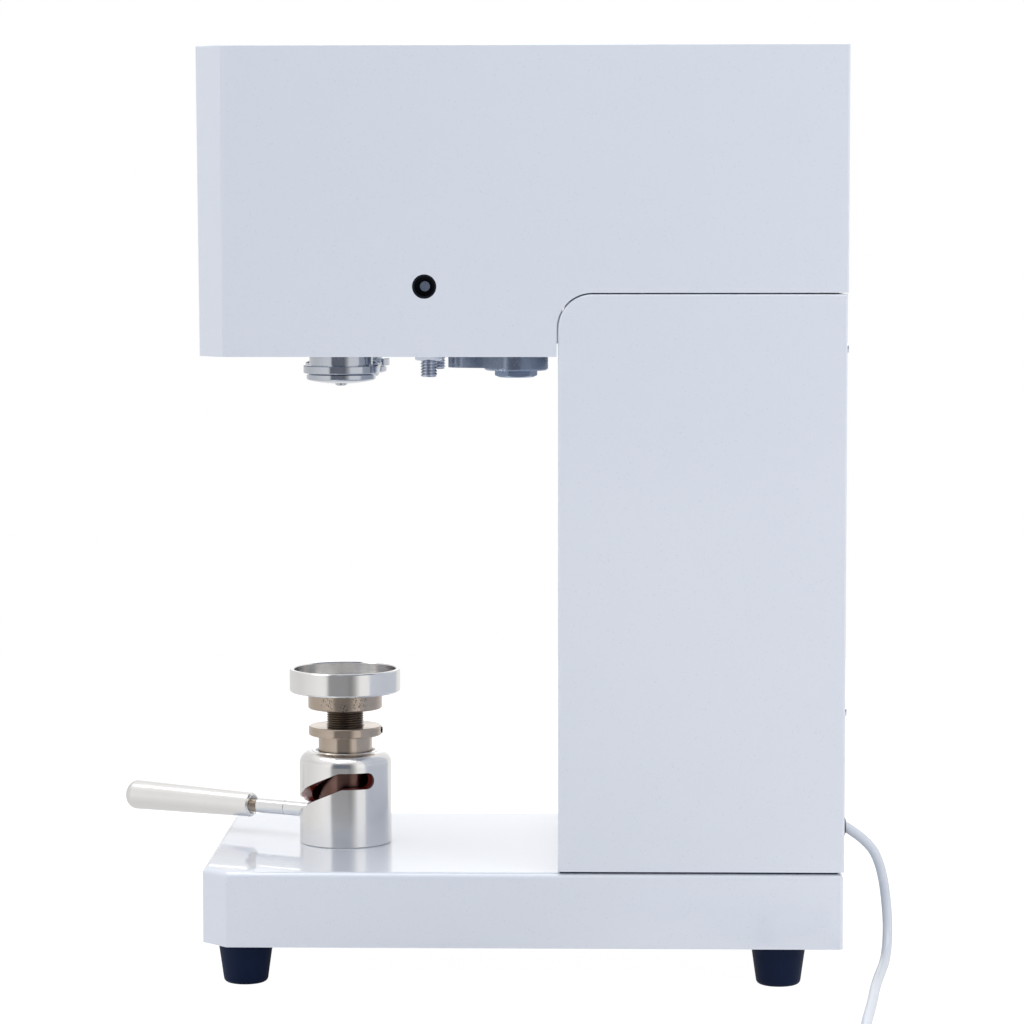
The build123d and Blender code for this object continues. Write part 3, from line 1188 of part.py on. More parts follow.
def nodes():
    """Every sub-part's solid or solids, by its node's name."""
    made = {
        "base_housing": base_housing(),
        "base_plate": base_plate(),
        "rubber_feet": rubber_feet(),
        "base_screws": base_screws(),
        "jack_body": jack_body(),
        "jack_bush": jack_bush(),
        "column_cover": column_cover(),
        "column_seal": column_seal(),
        "column_frame": column_frame(),
        "spacer_posts": spacer_posts(),
        "casing_screws": casing_screws(),
        "hood": hood(),
        "hood_cups": hood_cups(),
        "head_plate": head_plate(),
        "head_screws": head_screws(),
        "spindle_housing": spindle_housing(),
        "head_bearings": head_bearings(),
        "drive_belt": drive_belt(),
        "main_motor": main_motor(),
        "cam_gearmotor": cam_gearmotor(),
        "pivot_studs": group(pivot_stud(side) for side in SIDES.values()),
        "pivot_nuts": pivot_nuts(),
        "arm_springs": group(arm_spring(side) for side in SIDES.values()),
        "start_button_body": start_button_body(),
        "power_switch": power_switch(),
        "control_board": control_board(),
        "cord_gland": cord_gland(),
        "power_cord": power_cord(),
        "cord_coil": cord_coil(),
        "cord_plug": cord_plug(),
        "cam_collar": cam_collar(),
        "lever_rod": lever_rod(),
        "lever_grip": lever_grip(),
        "lift_piston": lift_piston(),
        "piston_nut": piston_nut(),
        "lock_ring": lock_ring(),
        "lock_ring_screw": lock_ring_screw(),
        "height_stem": height_stem(),
        "bearing_hub": bearing_hub(),
        "can_tray": can_tray(),
        "seaming_chuck": seaming_chuck(),
        "spindle_shaft": spindle_shaft(),
        "spindle_fixings": spindle_fixings(),
        "spindle_pulley": pulley(SPINDLE_PULLEY_D, SPINDLE_D + SLIP, web=7),
        "motor_shaft": motor_shaft(),
        "motor_pulley": pulley(MOTOR_PULLEY_D, MOTOR_SHAFT_D + SLIP, web=0, at=(0, MOTOR_Y)),
        "cam_shaft": cam_shaft(),
        "seaming_cam": seaming_cam(),
        "start_button_cap": start_button_cap(),
        "switch_rocker": switch_rocker(),
    }
    for name, side in SIDES.items():
        made[f"{name}_arm"] = seaming_arm(side)
        made[f"{name}_arm_fittings"] = arm_fittings(side)
        made[f"{name}_follower"] = cam_follower(side)
        made[f"{name}_roller"] = seaming_roller(side)
        made[f"{name}_roller_fixings"] = roller_fixings(side)
    return made


if __name__ == "__main__":
    for name, shape in nodes().items():
        export_step(shape, f"parts/{name}.step")
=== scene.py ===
# %% [markdown]
# A desktop can seamer
#
# The machine closes a drinks can: a lever lifts the can on a small tray, a chuck turns it from above,
# and two rollers fold the lid's edge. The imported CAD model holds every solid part, so this lesson
# gives those parts their finishes, adds the screw threads and the mains lead, and lights the whole
# machine on a white bench.

# %% The frame
import json
import math

import bpy
from mathutils import Matrix, Vector


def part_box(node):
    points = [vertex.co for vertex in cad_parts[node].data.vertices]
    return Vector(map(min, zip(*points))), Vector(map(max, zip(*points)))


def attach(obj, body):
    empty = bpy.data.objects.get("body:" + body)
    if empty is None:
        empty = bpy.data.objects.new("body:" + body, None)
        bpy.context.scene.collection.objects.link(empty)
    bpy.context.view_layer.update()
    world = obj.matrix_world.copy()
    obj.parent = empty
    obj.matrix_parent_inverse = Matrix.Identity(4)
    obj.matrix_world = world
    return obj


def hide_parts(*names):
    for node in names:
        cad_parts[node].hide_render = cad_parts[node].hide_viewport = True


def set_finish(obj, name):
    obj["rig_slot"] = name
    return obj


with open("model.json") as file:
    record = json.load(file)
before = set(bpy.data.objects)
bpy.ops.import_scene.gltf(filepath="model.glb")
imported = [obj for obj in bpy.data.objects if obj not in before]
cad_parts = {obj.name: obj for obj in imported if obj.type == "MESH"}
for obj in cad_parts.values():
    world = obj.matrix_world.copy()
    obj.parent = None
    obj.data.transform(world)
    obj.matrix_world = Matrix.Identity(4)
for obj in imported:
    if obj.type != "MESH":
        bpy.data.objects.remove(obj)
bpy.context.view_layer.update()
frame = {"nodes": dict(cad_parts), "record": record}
nodes = frame["nodes"]

# %% [markdown]
# The camera
#
# The photograph was taken from the machine's side with a long lens, a little above the tray. The
# camera is given as a place, two angles and a focal length, because those are what a photographer
# would note down. The lens length follows from the focal length in pixels on a picture 1024 wide.

# %% Camera
PICTURE = 1024
FOCAL_PIXELS = 3673.1
CAMERA_PLACE = Vector((2.375, 0.172, 0.4874))
CAMERA_YAW = 0.0265
CAMERA_PITCH = 0.0824
CAMERA_ROLL = -0.0011


def aim_camera(camera):
    """Turns the camera from its yaw, pitch and roll, in radians."""
    ahead = Vector((
        -math.cos(CAMERA_YAW) * math.cos(CAMERA_PITCH),
        -math.sin(CAMERA_YAW) * math.cos(CAMERA_PITCH),
        -math.sin(CAMERA_PITCH),
    ))
    right = ahead.cross(Vector((0, 0, 1))).normalized()
    up = right.cross(ahead)
    tilt = Matrix.Rotation(-CAMERA_ROLL, 3, ahead)
    turn = Matrix((tilt @ right, tilt @ up, -ahead)).transposed()
    camera.matrix_world = Matrix.Translation(CAMERA_PLACE) @ turn.to_4x4()


scene = bpy.context.scene
camera_data = bpy.data.cameras.new("camera")
camera_data.sensor_width = 36.0
camera_data.lens = FOCAL_PIXELS * camera_data.sensor_width / PICTURE
camera = bpy.data.objects.new("camera", camera_data)
scene.collection.objects.link(camera)
aim_camera(camera)
scene.camera = camera
print("lens", round(camera_data.lens, 2), "mm")

# %% [markdown]
# The mains lead
#
# A lead is heavy and springy, so it leaves its gland in a soft arch, drops to the bench and lies
# there. One open NURBS spline with a round bevel is that in a single object: its control points pull
# the line towards them without it ever bending sharply. The rest of the lead is put away in a neat
# coil of two layers, whose turns are further points of the same spline.

# %% Route of the lead
MM = 0.001
CORD_D = 6.5
CORD_CLEARANCE = 0.1
CORD_FLOOR = CORD_D / 2 + CORD_CLEARANCE
CORD_ROUTE = [
    (0, 324.0, 87.0), (0, 341.0, 77.0), (0, 350.0, 59.5), (2.0, 353.8, 31.4), (12.2, 353.4, 13.4),
    (30, 350.5, CORD_FLOOR), (62, 345.5, CORD_FLOOR), (108, 338.6, CORD_FLOOR),
    (158, 333.0, CORD_FLOOR), (208, 326.2, CORD_FLOOR), (262, 320.2, CORD_FLOOR),
    (289, 319.2, CORD_FLOOR), (303, 319.05, CORD_FLOOR),
]
COIL_CENTRE = (316.0, 276.0)
TURN_RADII = (42.5, 36.0, 29.5, 29.5, 36.0, 42.5)
LOWER_TURNS = 3
TURN_POINTS = 20
LAST_TURN = 5.25
STEP_START = {"lower": 0.74, "upper": 0.5}
STEP_LENGTH = 0.2
TO_PLUG = [(358.6, 263.0, 9.65), (358.5, 252.0, 9.5)]


def turn_point(turn):
    """A point of the coil after so many clockwise turns: level rings with a short step between them."""
    ring = int(turn)
    radius = TURN_RADII[ring]
    upper = ring >= LOWER_TURNS
    height = CORD_FLOOR + (CORD_D if upper else 0)
    start = STEP_START["upper" if upper else "lower"]
    if turn - ring > start and ring < len(TURN_RADII) - 1:
        share = min(1, (turn - ring - start) / STEP_LENGTH)
        share = share * share * (3 - 2 * share)
        if ring == LOWER_TURNS - 1:
            height = CORD_FLOOR + CORD_D * math.sin(math.acos(1 - share))
        else:
            radius += (TURN_RADII[ring + 1] - radius) * share
    # The spline cuts inside its control points, so they stand a little outside the ring.
    radius /= math.cos(math.pi / TURN_POINTS)
    angle = math.pi / 2 - 2 * math.pi * turn
    return (COIL_CENTRE[0] + radius * math.cos(angle), COIL_CENTRE[1] + radius * math.sin(angle), height)


def nurbs_line(name, points, diameter):
    """One open NURBS spline, given in millimetres, with a round bevel.

    The thickness is the bevel times each point's radius. With the real radius at the points and a
    bevel of one, the box that Blender gives for the curve is the cord's own.
    """
    curve = bpy.data.curves.new(name, "CURVE")
    curve.dimensions = "3D"
    curve.bevel_depth = 1.0
    curve.bevel_resolution = 5
    curve.resolution_u = 6
    curve.use_fill_caps = True
    spline = curve.splines.new("NURBS")
    spline.points.add(len(points) - 1)
    for made, point in zip(spline.points, points):
        made.co = (point[0] * MM, point[1] * MM, point[2] * MM, 1)
        made.radius = diameter / 2 * MM
    spline.order_u = 3
    spline.use_endpoint_u = True
    piece = bpy.data.objects.new(name, curve)
    scene.collection.objects.link(piece)
    return piece


turns = [turn_point(step / TURN_POINTS) for step in range(int(LAST_TURN * TURN_POINTS) + 1)]
mains_lead = nurbs_line("mains_lead", CORD_ROUTE + turns + TO_PLUG, CORD_D)
print("lead", len(mains_lead.data.splines[0].points), "control points")

# %% [markdown]
# Meshes from profiles
#
# Most new pieces are turned or threaded, so two helpers make them. `rings_mesh` joins a list of
# closed rings of points into one skin, which serves lathe work, threads and lofted mouldings alike.
# A thread is then only a lathe profile whose radius also depends on the angle.

# %% Skins from rings
def rings_mesh(rings):
    """Points and faces of a closed skin over rings that have the same number of points."""
    count = len(rings[0])
    points = [point for ring in rings for point in ring]
    faces = []
    for low in range(len(rings) - 1):
        for step in range(count):
            a = low * count + step
            b = low * count + (step + 1) % count
            faces.append((a, b, b + count, a + count))
    faces.append(tuple(reversed(range(count))))
    faces.append(tuple(range((len(rings) - 1) * count, len(rings) * count)))
    return points, faces


def piece_from(name, skins, crease_degrees=35):
    """One object from several skins, given in millimetres."""
    points, faces = [], []
    for skin_points, skin_faces in skins:
        start = len(points)
        points += [(x * MM, y * MM, z * MM) for x, y, z in skin_points]
        faces += [tuple(start + corner for corner in face) for face in skin_faces]
    mesh = bpy.data.meshes.new(name)
    mesh.from_pydata(points, [], faces)
    mesh.validate()
    mesh.shade_smooth()
    mesh.set_sharp_from_angle(angle=math.radians(crease_degrees))
    piece = bpy.data.objects.new(name, mesh)
    scene.collection.objects.link(piece)
    print(name, len(mesh.polygons), "faces")
    return piece


def lathe_rings(profile, centre=(0, 0), steps=64):
    """Upright rings from (radius, height) points, from the bottom up."""
    angles = [2 * math.pi * step / steps for step in range(steps)]
    return [
        [(centre[0] + radius * math.cos(a), centre[1] + radius * math.sin(a), height) for a in angles]
        for radius, height in profile
    ]


# %% [markdown]
# Screw threads
#
# Threads catch light as a stack of fine bright lines, and the photograph shows them on the tray's
# stem and on both pivot studs. They could be a bump pattern, but a thread also notches the outline,
# so it is real geometry here: the radius follows a triangle wave, cut flat at its crests, that
# climbs one pitch each turn.

# %% Threads
ROWS_PER_PITCH = 8
CHAMFER = 0.9
FLANK_SLOPE = 2.6


def thread_rings(root_r, crest_r, pitch, low, high, centre=(0, 0), steps=48):
    """Rings of a right-hand screw thread with chamfered ends."""
    rows = round((high - low) / pitch * ROWS_PER_PITCH)
    rings = []
    for row in range(rows + 1):
        height = low + (high - low) * row / rows
        cap = crest_r - CHAMFER + min(CHAMFER, height - low, high - height)
        ring = []
        for step in range(steps):
            turn = 2 * math.pi * step / steps
            phase = (height / pitch - step / steps) % 1
            wave = min(1, FLANK_SLOPE * abs(phase - 0.5))
            radius = min(cap, root_r + (crest_r - root_r) * wave)
            ring.append((centre[0] + radius * math.cos(turn), centre[1] + radius * math.sin(turn), height))
        rings.append(ring)
    return rings


def node_span(name):
    """A CAD node's lowest and highest corners in millimetres."""
    low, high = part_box(name)
    return low / MM, high / MM


# %% The tray's threaded stem
STEM_PITCH = 1.5
STEM_THREAD_DEPTH = 0.95
stem_low, stem_high = node_span("height_stem")
stem_r = (stem_high.x - stem_low.x) / 2
stem_root_r = stem_r - STEM_THREAD_DEPTH
stem_thread = thread_rings(stem_root_r, stem_r, STEM_PITCH, stem_low.z, stem_high.z, steps=64)
threaded_stem = piece_from("threaded_stem", [rings_mesh(stem_thread)], crease_degrees=60)
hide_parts("height_stem")
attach(threaded_stem, "stem")
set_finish(threaded_stem, "turned_steel")

# %% Pivot studs
STUD_X = 58.0
STUD_Y = 58.2
STUD_PITCH = 1.85
STUD_THREAD_R = 5.25
STUD_ROOT_R = 4.35
STUD_R = 8.0
STUD_COLLAR_R = 13.0
STUD_THREAD_LENGTH = 27.4
STUD_COLLAR_HEIGHT = 4.4
SHOULDER_CHAMFER = 0.6
COLLAR_CHAMFER = 0.4
TOP_CHAMFER = 0.5
stud_low, stud_high = node_span("pivot_studs")
STUD_SHOULDER_Z = stud_low.z + STUD_THREAD_LENGTH
PLATE_LOW_Z = node_span("head_plate")[0].z
COLLAR_LOW_Z = PLATE_LOW_Z - STUD_COLLAR_HEIGHT


def stud_skins(side):
    """A stud's thread and its plain upper length."""
    centre = (side * STUD_X, STUD_Y)
    thread = thread_rings(STUD_ROOT_R, STUD_THREAD_R, STUD_PITCH, stud_low.z, STUD_SHOULDER_Z, centre)
    shank = lathe_rings([
        (STUD_R - SHOULDER_CHAMFER, STUD_SHOULDER_Z), (STUD_R, STUD_SHOULDER_Z + SHOULDER_CHAMFER),
        (STUD_R, COLLAR_LOW_Z), (STUD_COLLAR_R - COLLAR_CHAMFER, COLLAR_LOW_Z),
        (STUD_COLLAR_R, COLLAR_LOW_Z + COLLAR_CHAMFER), (STUD_COLLAR_R, PLATE_LOW_Z),
        (STUD_R, PLATE_LOW_Z), (STUD_R, stud_high.z - TOP_CHAMFER), (STUD_R - TOP_CHAMFER, stud_high.z),
    ], centre)
    return [rings_mesh(thread), rings_mesh(shank)]


threaded_studs = piece_from("threaded_studs", stud_skins(1) + stud_skins(-1), crease_degrees=50)
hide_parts("pivot_studs")
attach(threaded_studs, "root")
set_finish(threaded_studs, "zinc_steel")

# %% [markdown]
# The grip's threaded neck
#
# The handle screws on to the rod, and its thread shows in the countersunk mouth. The lever points
# away from the camera to the front, so pieces on it are made upright and then laid along it.

# %% Thread in the handle's mouth
LEVER_DEGREES = -117.0
LEVER_Z = 93.5
NECK_START = 67.5
NECK_END = 75.4
NECK_ROOT_R = 3.35
NECK_CREST_R = 3.95
NECK_PITCH = 1.25


def along_lever(point):
    """Takes a point whose height is a distance along the lever to its place on the machine."""
    across, rise, out = point
    turn = math.radians(LEVER_DEGREES)
    return (
        out * math.cos(turn) - across * math.sin(turn),
        out * math.sin(turn) + across * math.cos(turn),
        LEVER_Z + rise,
    )


neck_rings = thread_rings(NECK_ROOT_R, NECK_CREST_R, NECK_PITCH, NECK_START, NECK_END)
neck_points, neck_faces = rings_mesh(neck_rings)
neck_points = [along_lever(point) for point in neck_points]
handle_thread = piece_from("handle_thread", [(neck_points, neck_faces)], crease_degrees=60)
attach(handle_thread, "lever")
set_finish(handle_thread, "turned_steel")

# %% [markdown]
# The plug
#
# A moulded plug is softer in shape than a machined part: a ribbed strain relief swells into a body
# with a thumb grip, and the pins come out of its flat face. Each cross section is a superellipse,
# which runs from a circle at the cord to a rounded rectangle at the body by one number.

# %% Moulded plug
PLUG_START = (358.5, 264.0, 9.5)
PLUG_STEPS = 40
RELIEF_END = 30.0
BODY_END = 64.0
RIBS = 6
RIB_GAP = 0.9
RIB_DEPTH = 0.9
RIB_SLOPE = 0.3
RIB_FLARE = 0.2
RELIEF_START_R = 3.9
RELIEF_GROWTH = 2.3
PLUG_BODY = [
    (30.0, 6.2, 6.2, 2.0), (32.0, 8.2, 6.7, 2.3), (35.0, 10.4, 7.6, 2.8), (39.0, 12.2, 8.8, 3.2),
    (42.0, 12.7, 9.3, 3.6), (46.0, 12.2, 8.9, 3.6), (51.0, 12.0, 8.7, 3.6), (56.0, 12.6, 9.2, 4.0),
    (60.0, 13.0, 9.5, 4.4), (63.2, 13.0, 9.5, 4.6), (64.0, 12.3, 8.8, 4.4),
]


def plug_ring(distance, half_x, half_z, power):
    """A superellipse across the plug at a distance from its start."""
    ring = []
    for step in range(PLUG_STEPS):
        turn = 2 * math.pi * step / PLUG_STEPS
        c, s = math.cos(turn), math.sin(turn)
        x = half_x * math.copysign(abs(c) ** (2 / power), c)
        z = half_z * math.copysign(abs(s) ** (2 / power), s)
        ring.append((PLUG_START[0] + x, PLUG_START[1] - distance, PLUG_START[2] + z))
    return ring


def relief_sections():
    """The strain relief: a taper cut by ribs, so that it bends with the cord."""
    sections = []
    run = RELIEF_END / RIBS
    for rib in range(RIBS):
        start = rib * run
        outer = RELIEF_START_R + RELIEF_GROWTH * (start + run / 2) / RELIEF_END
        inner = outer - RIB_DEPTH
        profile = [
            (0.0, inner), (RIB_GAP, inner),
            (RIB_GAP + RIB_SLOPE, outer), (run - RIB_SLOPE, outer + RIB_FLARE),
        ]
        sections += [(start + offset, radius, radius, 2.0) for offset, radius in profile]
    return sections


plug_rings = [plug_ring(*section) for section in relief_sections() + PLUG_BODY]
plug_body = piece_from("plug_body", [rings_mesh(plug_rings)], crease_degrees=50)


def box_skin(low, high, edge):
    """A box with its four long edges cut off, along Y."""
    rings = []
    for y, shrink in ((high[1], 0), (low[1] + edge, 0), (low[1], edge)):
        x0, x1 = low[0] + shrink, high[0] - shrink
        z0, z1 = low[2] + shrink, high[2] - shrink
        rings.append([
            (x0 + edge, y, z0), (x1 - edge, y, z0), (x1, y, z0 + edge), (x1, y, z1 - edge),
            (x1 - edge, y, z1), (x0 + edge, y, z1), (x0, y, z1 - edge), (x0, y, z0 + edge),
        ])
    return rings_mesh(rings)


BLADE_X = 6.35
BLADE_HALF = 0.75
BLADE_Z = (6.3, 12.7)
BLADE_EDGE = 0.25
PIN_TIP = 18.0
PIN_ROOT = 2.0
EARTH_Z = 3.9
EARTH_STEPS = 20
EARTH_PROFILE = [(PIN_ROOT, 2.4), (-17, 2.4), (-19, 1.9), (-20, 0.9)]
face_y = PLUG_START[1] - BODY_END
pins = []
for side in (1, -1):
    x = PLUG_START[0] + side * BLADE_X
    low = (x - BLADE_HALF, face_y - PIN_TIP, BLADE_Z[0])
    high = (x + BLADE_HALF, face_y + PIN_ROOT, BLADE_Z[1])
    pins.append(box_skin(low, high, BLADE_EDGE))
earth_angles = [2 * math.pi * step / EARTH_STEPS for step in range(EARTH_STEPS)]
pins.append(rings_mesh([
    [(PLUG_START[0] + r * math.cos(a), face_y + y, EARTH_Z + r * math.sin(a)) for a in earth_angles]
    for y, r in EARTH_PROFILE
]))
plug_pins = piece_from("plug_pins", pins)
for piece, slot in ((plug_body, "grey_cord"), (plug_pins, "zinc_steel")):
    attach(piece, "root")
    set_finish(piece, slot)
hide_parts("cord_plug")

# %% [markdown]
# The tie round the coil
#
# A coil keeps its shape because something holds it. A strap of hook tape goes round all the turns at
# one place, so its skin is a flat loop swept round the coil's section.

# %% Tie
TIE_HALF_WIDTH = 5.0
TIE_THICK = 0.7
TIE_MIDDLE = (36.0, 6.6)
TIE_LOOP = [
    (26.6, 0.0), (45.4, 0.0), (46.4, 1.6), (46.4, 11.4),
    (45.2, 13.2), (26.8, 13.2), (25.6, 11.4), (25.6, 1.6),
]


def tie_skin():
    """The strap as rings that follow the loop, with the last joined to the first."""
    rings = []
    for radius, height in TIE_LOOP:
        inward = Vector((TIE_MIDDLE[0] - radius, TIE_MIDDLE[1] - height)).normalized() * TIE_THICK
        ring = []
        for across, depth in ((-1, 0), (1, 0), (1, 1), (-1, 1)):
            r, z = radius + inward.x * depth, height + inward.y * depth
            ring.append((COIL_CENTRE[0] - r, COIL_CENTRE[1] + across * TIE_HALF_WIDTH, z))
        rings.append(ring)
    points = [point for ring in rings for point in ring]
    faces = []
    for start in range(len(rings)):
        after = (start + 1) % len(rings)
        for corner in range(4):
            beside = (corner + 1) % 4
            faces.append((start * 4 + corner, start * 4 + beside, after * 4 + beside, after * 4 + corner))
    return points, faces


coil_tie = piece_from("coil_tie", [tie_skin()])
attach(coil_tie, "root")
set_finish(coil_tie, "black_rubber")
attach(mains_lead, "root")
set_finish(mains_lead, "grey_cord")
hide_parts("power_cord", "cord_coil")

# %% [markdown]
# Sockets that read like numbers
#
# A shader tree is easier to follow as sums than as wires. This class wraps one output socket: adding
# or multiplying signals adds the Math nodes, and `node` adds any other node. Colours are mixed by a
# Mix node, because a Math node would turn them grey.

# %% Signals
def connect(node, sockets):
    """Links signals to a node's sockets and sets plain values on them."""
    for name, value in sockets.items():
        if isinstance(value, Signal):
            node.id_data.links.new(value.socket, node.inputs[name])
        else:
            node.inputs[name].default_value = value


class Signal:
    """One output socket of a shader node."""

    def __init__(self, tree, socket=None):
        self.tree = tree
        self.socket = socket

    def node(self, kind, settings=None, sockets=None, output=0):
        """Adds a node: its settings first, then its sockets, and one output comes back."""
        made = self.tree.nodes.new(kind)
        for name, value in (settings or {}).items():
            if name == "stops":
                while len(made.color_ramp.elements) < len(value):
                    made.color_ramp.elements.new(1)
                for element, (place, colour) in zip(made.color_ramp.elements, value):
                    element.position = place
                    element.color = colour
            else:
                setattr(made, name, value)
        connect(made, sockets or {})
        return Signal(self.tree, made.outputs[output])

    def math(self, operation, *values):
        return self.node("ShaderNodeMath", {"operation": operation}, dict(enumerate(values)))

    def __add__(self, other):
        return self.math("ADD", self, other)

    def __sub__(self, other):
        return self.math("SUBTRACT", self, other)

    def __rsub__(self, other):
        return self.math("SUBTRACT", other, self)

    def __mul__(self, other):
        return self.math("MULTIPLY", self, other)

    __radd__ = __add__
    __rmul__ = __mul__


def colour(red, green, blue):
    """A colour given as it shows on a screen, 0 to 255, as Blender's linear values."""
    values = [value / 255 for value in (red, green, blue)]
    linear = [value / 12.92 if value <= 0.04045 else ((value + 0.055) / 1.055) ** 2.4 for value in values]
    return (*linear, 1)


def grey(value):
    """A linear grey."""
    return (value, value, value, 1)


def coordinate(place, name):
    """One coordinate of a vector."""
    return place.node("ShaderNodeSeparateXYZ", {}, {0: place}, name)


def mix(share, first, second):
    """The first colour where share is 0 and the second where it is 1."""
    return share.node("ShaderNodeMix", {"data_type": "RGBA"}, {0: share, 6: first, 7: second}, output=2)


def step_between(signal, low, high):
    """0 below low, 1 above high and smooth between."""
    settings = {"interpolation_type": "SMOOTHSTEP"}
    limits = {"Value": signal, "From Min": low, "From Max": high}
    return signal.node("ShaderNodeMapRange", settings, limits)


def stretched(place, x, y, z):
    """The place scaled along each axis, so that a pattern read there is drawn out."""
    return place.node("ShaderNodeMapping", {}, {"Vector": place, "Scale": (x, y, z)})


def noise(place, scale, detail=2.0, roughness=0.5):
    """A soft random pattern; a larger scale is finer."""
    sockets = {"Vector": place, "Scale": scale, "Detail": detail, "Roughness": roughness}
    return place.node("ShaderNodeTexNoise", {}, sockets)


def bump(height, strength, distance):
    """Turns a height signal into a bent normal; distance is in metres."""
    sockets = {"Height": height, "Strength": strength, "Distance": distance}
    return height.node("ShaderNodeBump", {}, sockets)


def new_material(name):
    """A material, its Principled shader, and the point on the piece as a signal."""
    material = bpy.data.materials.new(name)
    material.use_nodes = True
    tree = material.node_tree
    place = Signal(tree).node("ShaderNodeTexCoord", output="Object")
    return material, tree.nodes["Principled BSDF"], place


# %% [markdown]
# Painted casing
#
# The casing is sheet metal with a smooth powder coat, white with a cool cast. Seen close, such paint
# has a very fine orange peel under a clear gloss, and over a large panel its tone drifts slightly.
# The peel bends only the paint's own normal; the coat on top stays flat, so reflections stay sharp.

# %% Paint
def painted_casing():
    """White powder coat with a faint peel and a few darker specks."""
    material, shader, place = new_material("white_paint")
    drift = noise(place, 3.0)
    peel = noise(place, 520.0, detail=1.0)
    speck = step_between(noise(place, 900.0, detail=0.0), 0.74, 0.80)
    tone = mix(drift, colour(222, 227, 236), colour(229, 233, 241))
    connect(shader, {
        "Base Color": mix(speck * 0.25, tone, colour(196, 203, 214)),
        "Roughness": 0.30 + 0.08 * drift,
        "IOR": 1.48,
        "Coat Weight": 0.9,
        "Coat Roughness": 0.03,
        "Normal": bump(peel, 0.12, 0.0002),
    })
    return material


def enamel(name, dark, light, roughness):
    """Plain dark paint on the hidden frame, motor and base plate."""
    material, shader, place = new_material(name)
    drift = noise(place, 14.0, detail=4.0)
    peel = noise(place, 600.0, detail=1.0)
    connect(shader, {
        "Base Color": mix(drift, colour(*dark), colour(*light)),
        "Roughness": roughness + 0.12 * drift,
        "Normal": bump(peel, 0.2, 0.0002),
    })
    return material


# %% [markdown]
# Turned metal
#
# A lathe leaves rings round the axis of the piece. Noise that is read at (radius, distance along the
# axis) instead of at the point itself is the same all the way round, so it draws just those rings on
# flat faces, walls and cones alike. The same signal tips the normal, breaks up the gloss and shades
# the colour a little, and a slower noise keeps the rings from being perfect.

# %% Rings of the lathe
UPRIGHT = (0.0, 0.0, 1.0)
LEVER_AXIS = (math.cos(math.radians(LEVER_DEGREES)), math.sin(math.radians(LEVER_DEGREES)), 0.0)


def vector(signal, operation, sockets, output=0):
    """One step of vector arithmetic."""
    return signal.node("ShaderNodeVectorMath", {"operation": operation}, sockets, output)


def lathe_place(place, centre, axis):
    """The radius and the distance along an axis, as the first two parts of a vector."""
    out = vector(place, "SUBTRACT", {0: place, 1: centre})
    along = vector(out, "DOT_PRODUCT", {0: out, 1: axis}, "Value")
    on_axis = vector(out, "SCALE", {0: axis, "Scale": along})
    radial = vector(out, "SUBTRACT", {0: out, 1: on_axis})
    radius = vector(radial, "LENGTH", {0: radial}, "Value")
    return radius.node("ShaderNodeCombineXYZ", {}, {"X": radius, "Y": along})


def turned_metal(
    name, dark, light, roughness, lines=1400.0, depth=0.06, centre=(0, 0, 0), axis=UPRIGHT, extra=None
):
    """Metal with fine rings. Extra may change the tone, the height and the share that is bare metal."""
    material, shader, place = new_material(name)
    turned = lathe_place(place, centre, axis)
    rings = noise(turned, lines, detail=3.0, roughness=0.65)
    blur = noise(place, 55.0, detail=3.0)
    tone = mix(0.5 * rings + 0.5 * blur, colour(*dark), colour(*light))
    height, metal = rings, 1.0
    if extra:
        tone, height, metal = extra(place, turned, tone, height)
    connect(shader, {
        "Base Color": tone,
        "Metallic": metal,
        "Roughness": roughness + 0.08 * (rings - 0.5) + 0.08 * (blur - 0.5),
        "Anisotropic": 0.7 if axis == UPRIGHT else 0.0,
        "Anisotropic Rotation": 0.25,
        "Normal": bump(height, depth, 0.00008),
    })
    return material


# %% [markdown]
# Wear and oil
#
# Four turned pieces aren't the same all over. The hub has three pitted patches, the jack is coated
# with old red-brown oil inside its slot and bore, the piston carries such oil on the part that
# slides in the jack, and the bush in the jack's mouth is dark at its lip. Each is a mask made from
# distances: to a point, from the axis, or up the axis.

# %% Wear and oil
PITTED_PATCHES = [
    ((0.0214, 0.0108, 0.1695), 0.0030, 0.0075), ((0.0219, -0.0100, 0.1675), 0.0020, 0.0070),
    ((0.0240, 0.0010, 0.1650), 0.0010, 0.0050),
]
OIL_RED = (132, 50, 44)
JACK_SKIN_R = 0.0297
JACK_SKIN_FADE = 0.0018
OIL_TOP_Z = 0.129
OIL_TOP_FADE = 0.002
PISTON_OIL_Z = (0.1325, 0.1355)
BUSH_LIP_R = (0.0193, 0.0198)
PIT_DEPTH = 4.0


def pitted(place, turned, tone, height):
    """Dark pits in a few patches."""
    pits = step_between(noise(place, 900.0, detail=3.0), 0.50, 0.62)
    patches = []
    for point, inner, outer in PITTED_PATCHES:
        away = vector(place, "DISTANCE", {0: place, 1: point}, "Value")
        patches.append(1 - step_between(away, inner, outer))
    patch = patches[0] + patches[1] + patches[2]
    worn = pits * patch.math("MINIMUM", patch, 1.0)
    return mix(worn * 0.7, tone, colour(52, 40, 34)), height - PIT_DEPTH * worn, 1.0


def oiled_inside(place, turned, tone, height):
    """Red-brown oil on what lies behind the outer skin and under the top."""
    radius, rise = coordinate(turned, "X"), coordinate(turned, "Y")
    behind = 1 - step_between(radius, JACK_SKIN_R - JACK_SKIN_FADE, JACK_SKIN_R)
    under = 1 - step_between(rise, OIL_TOP_Z, OIL_TOP_Z + OIL_TOP_FADE)
    inside = behind * under
    return mix(inside, tone, colour(*OIL_RED)), height, 1 - 0.75 * inside


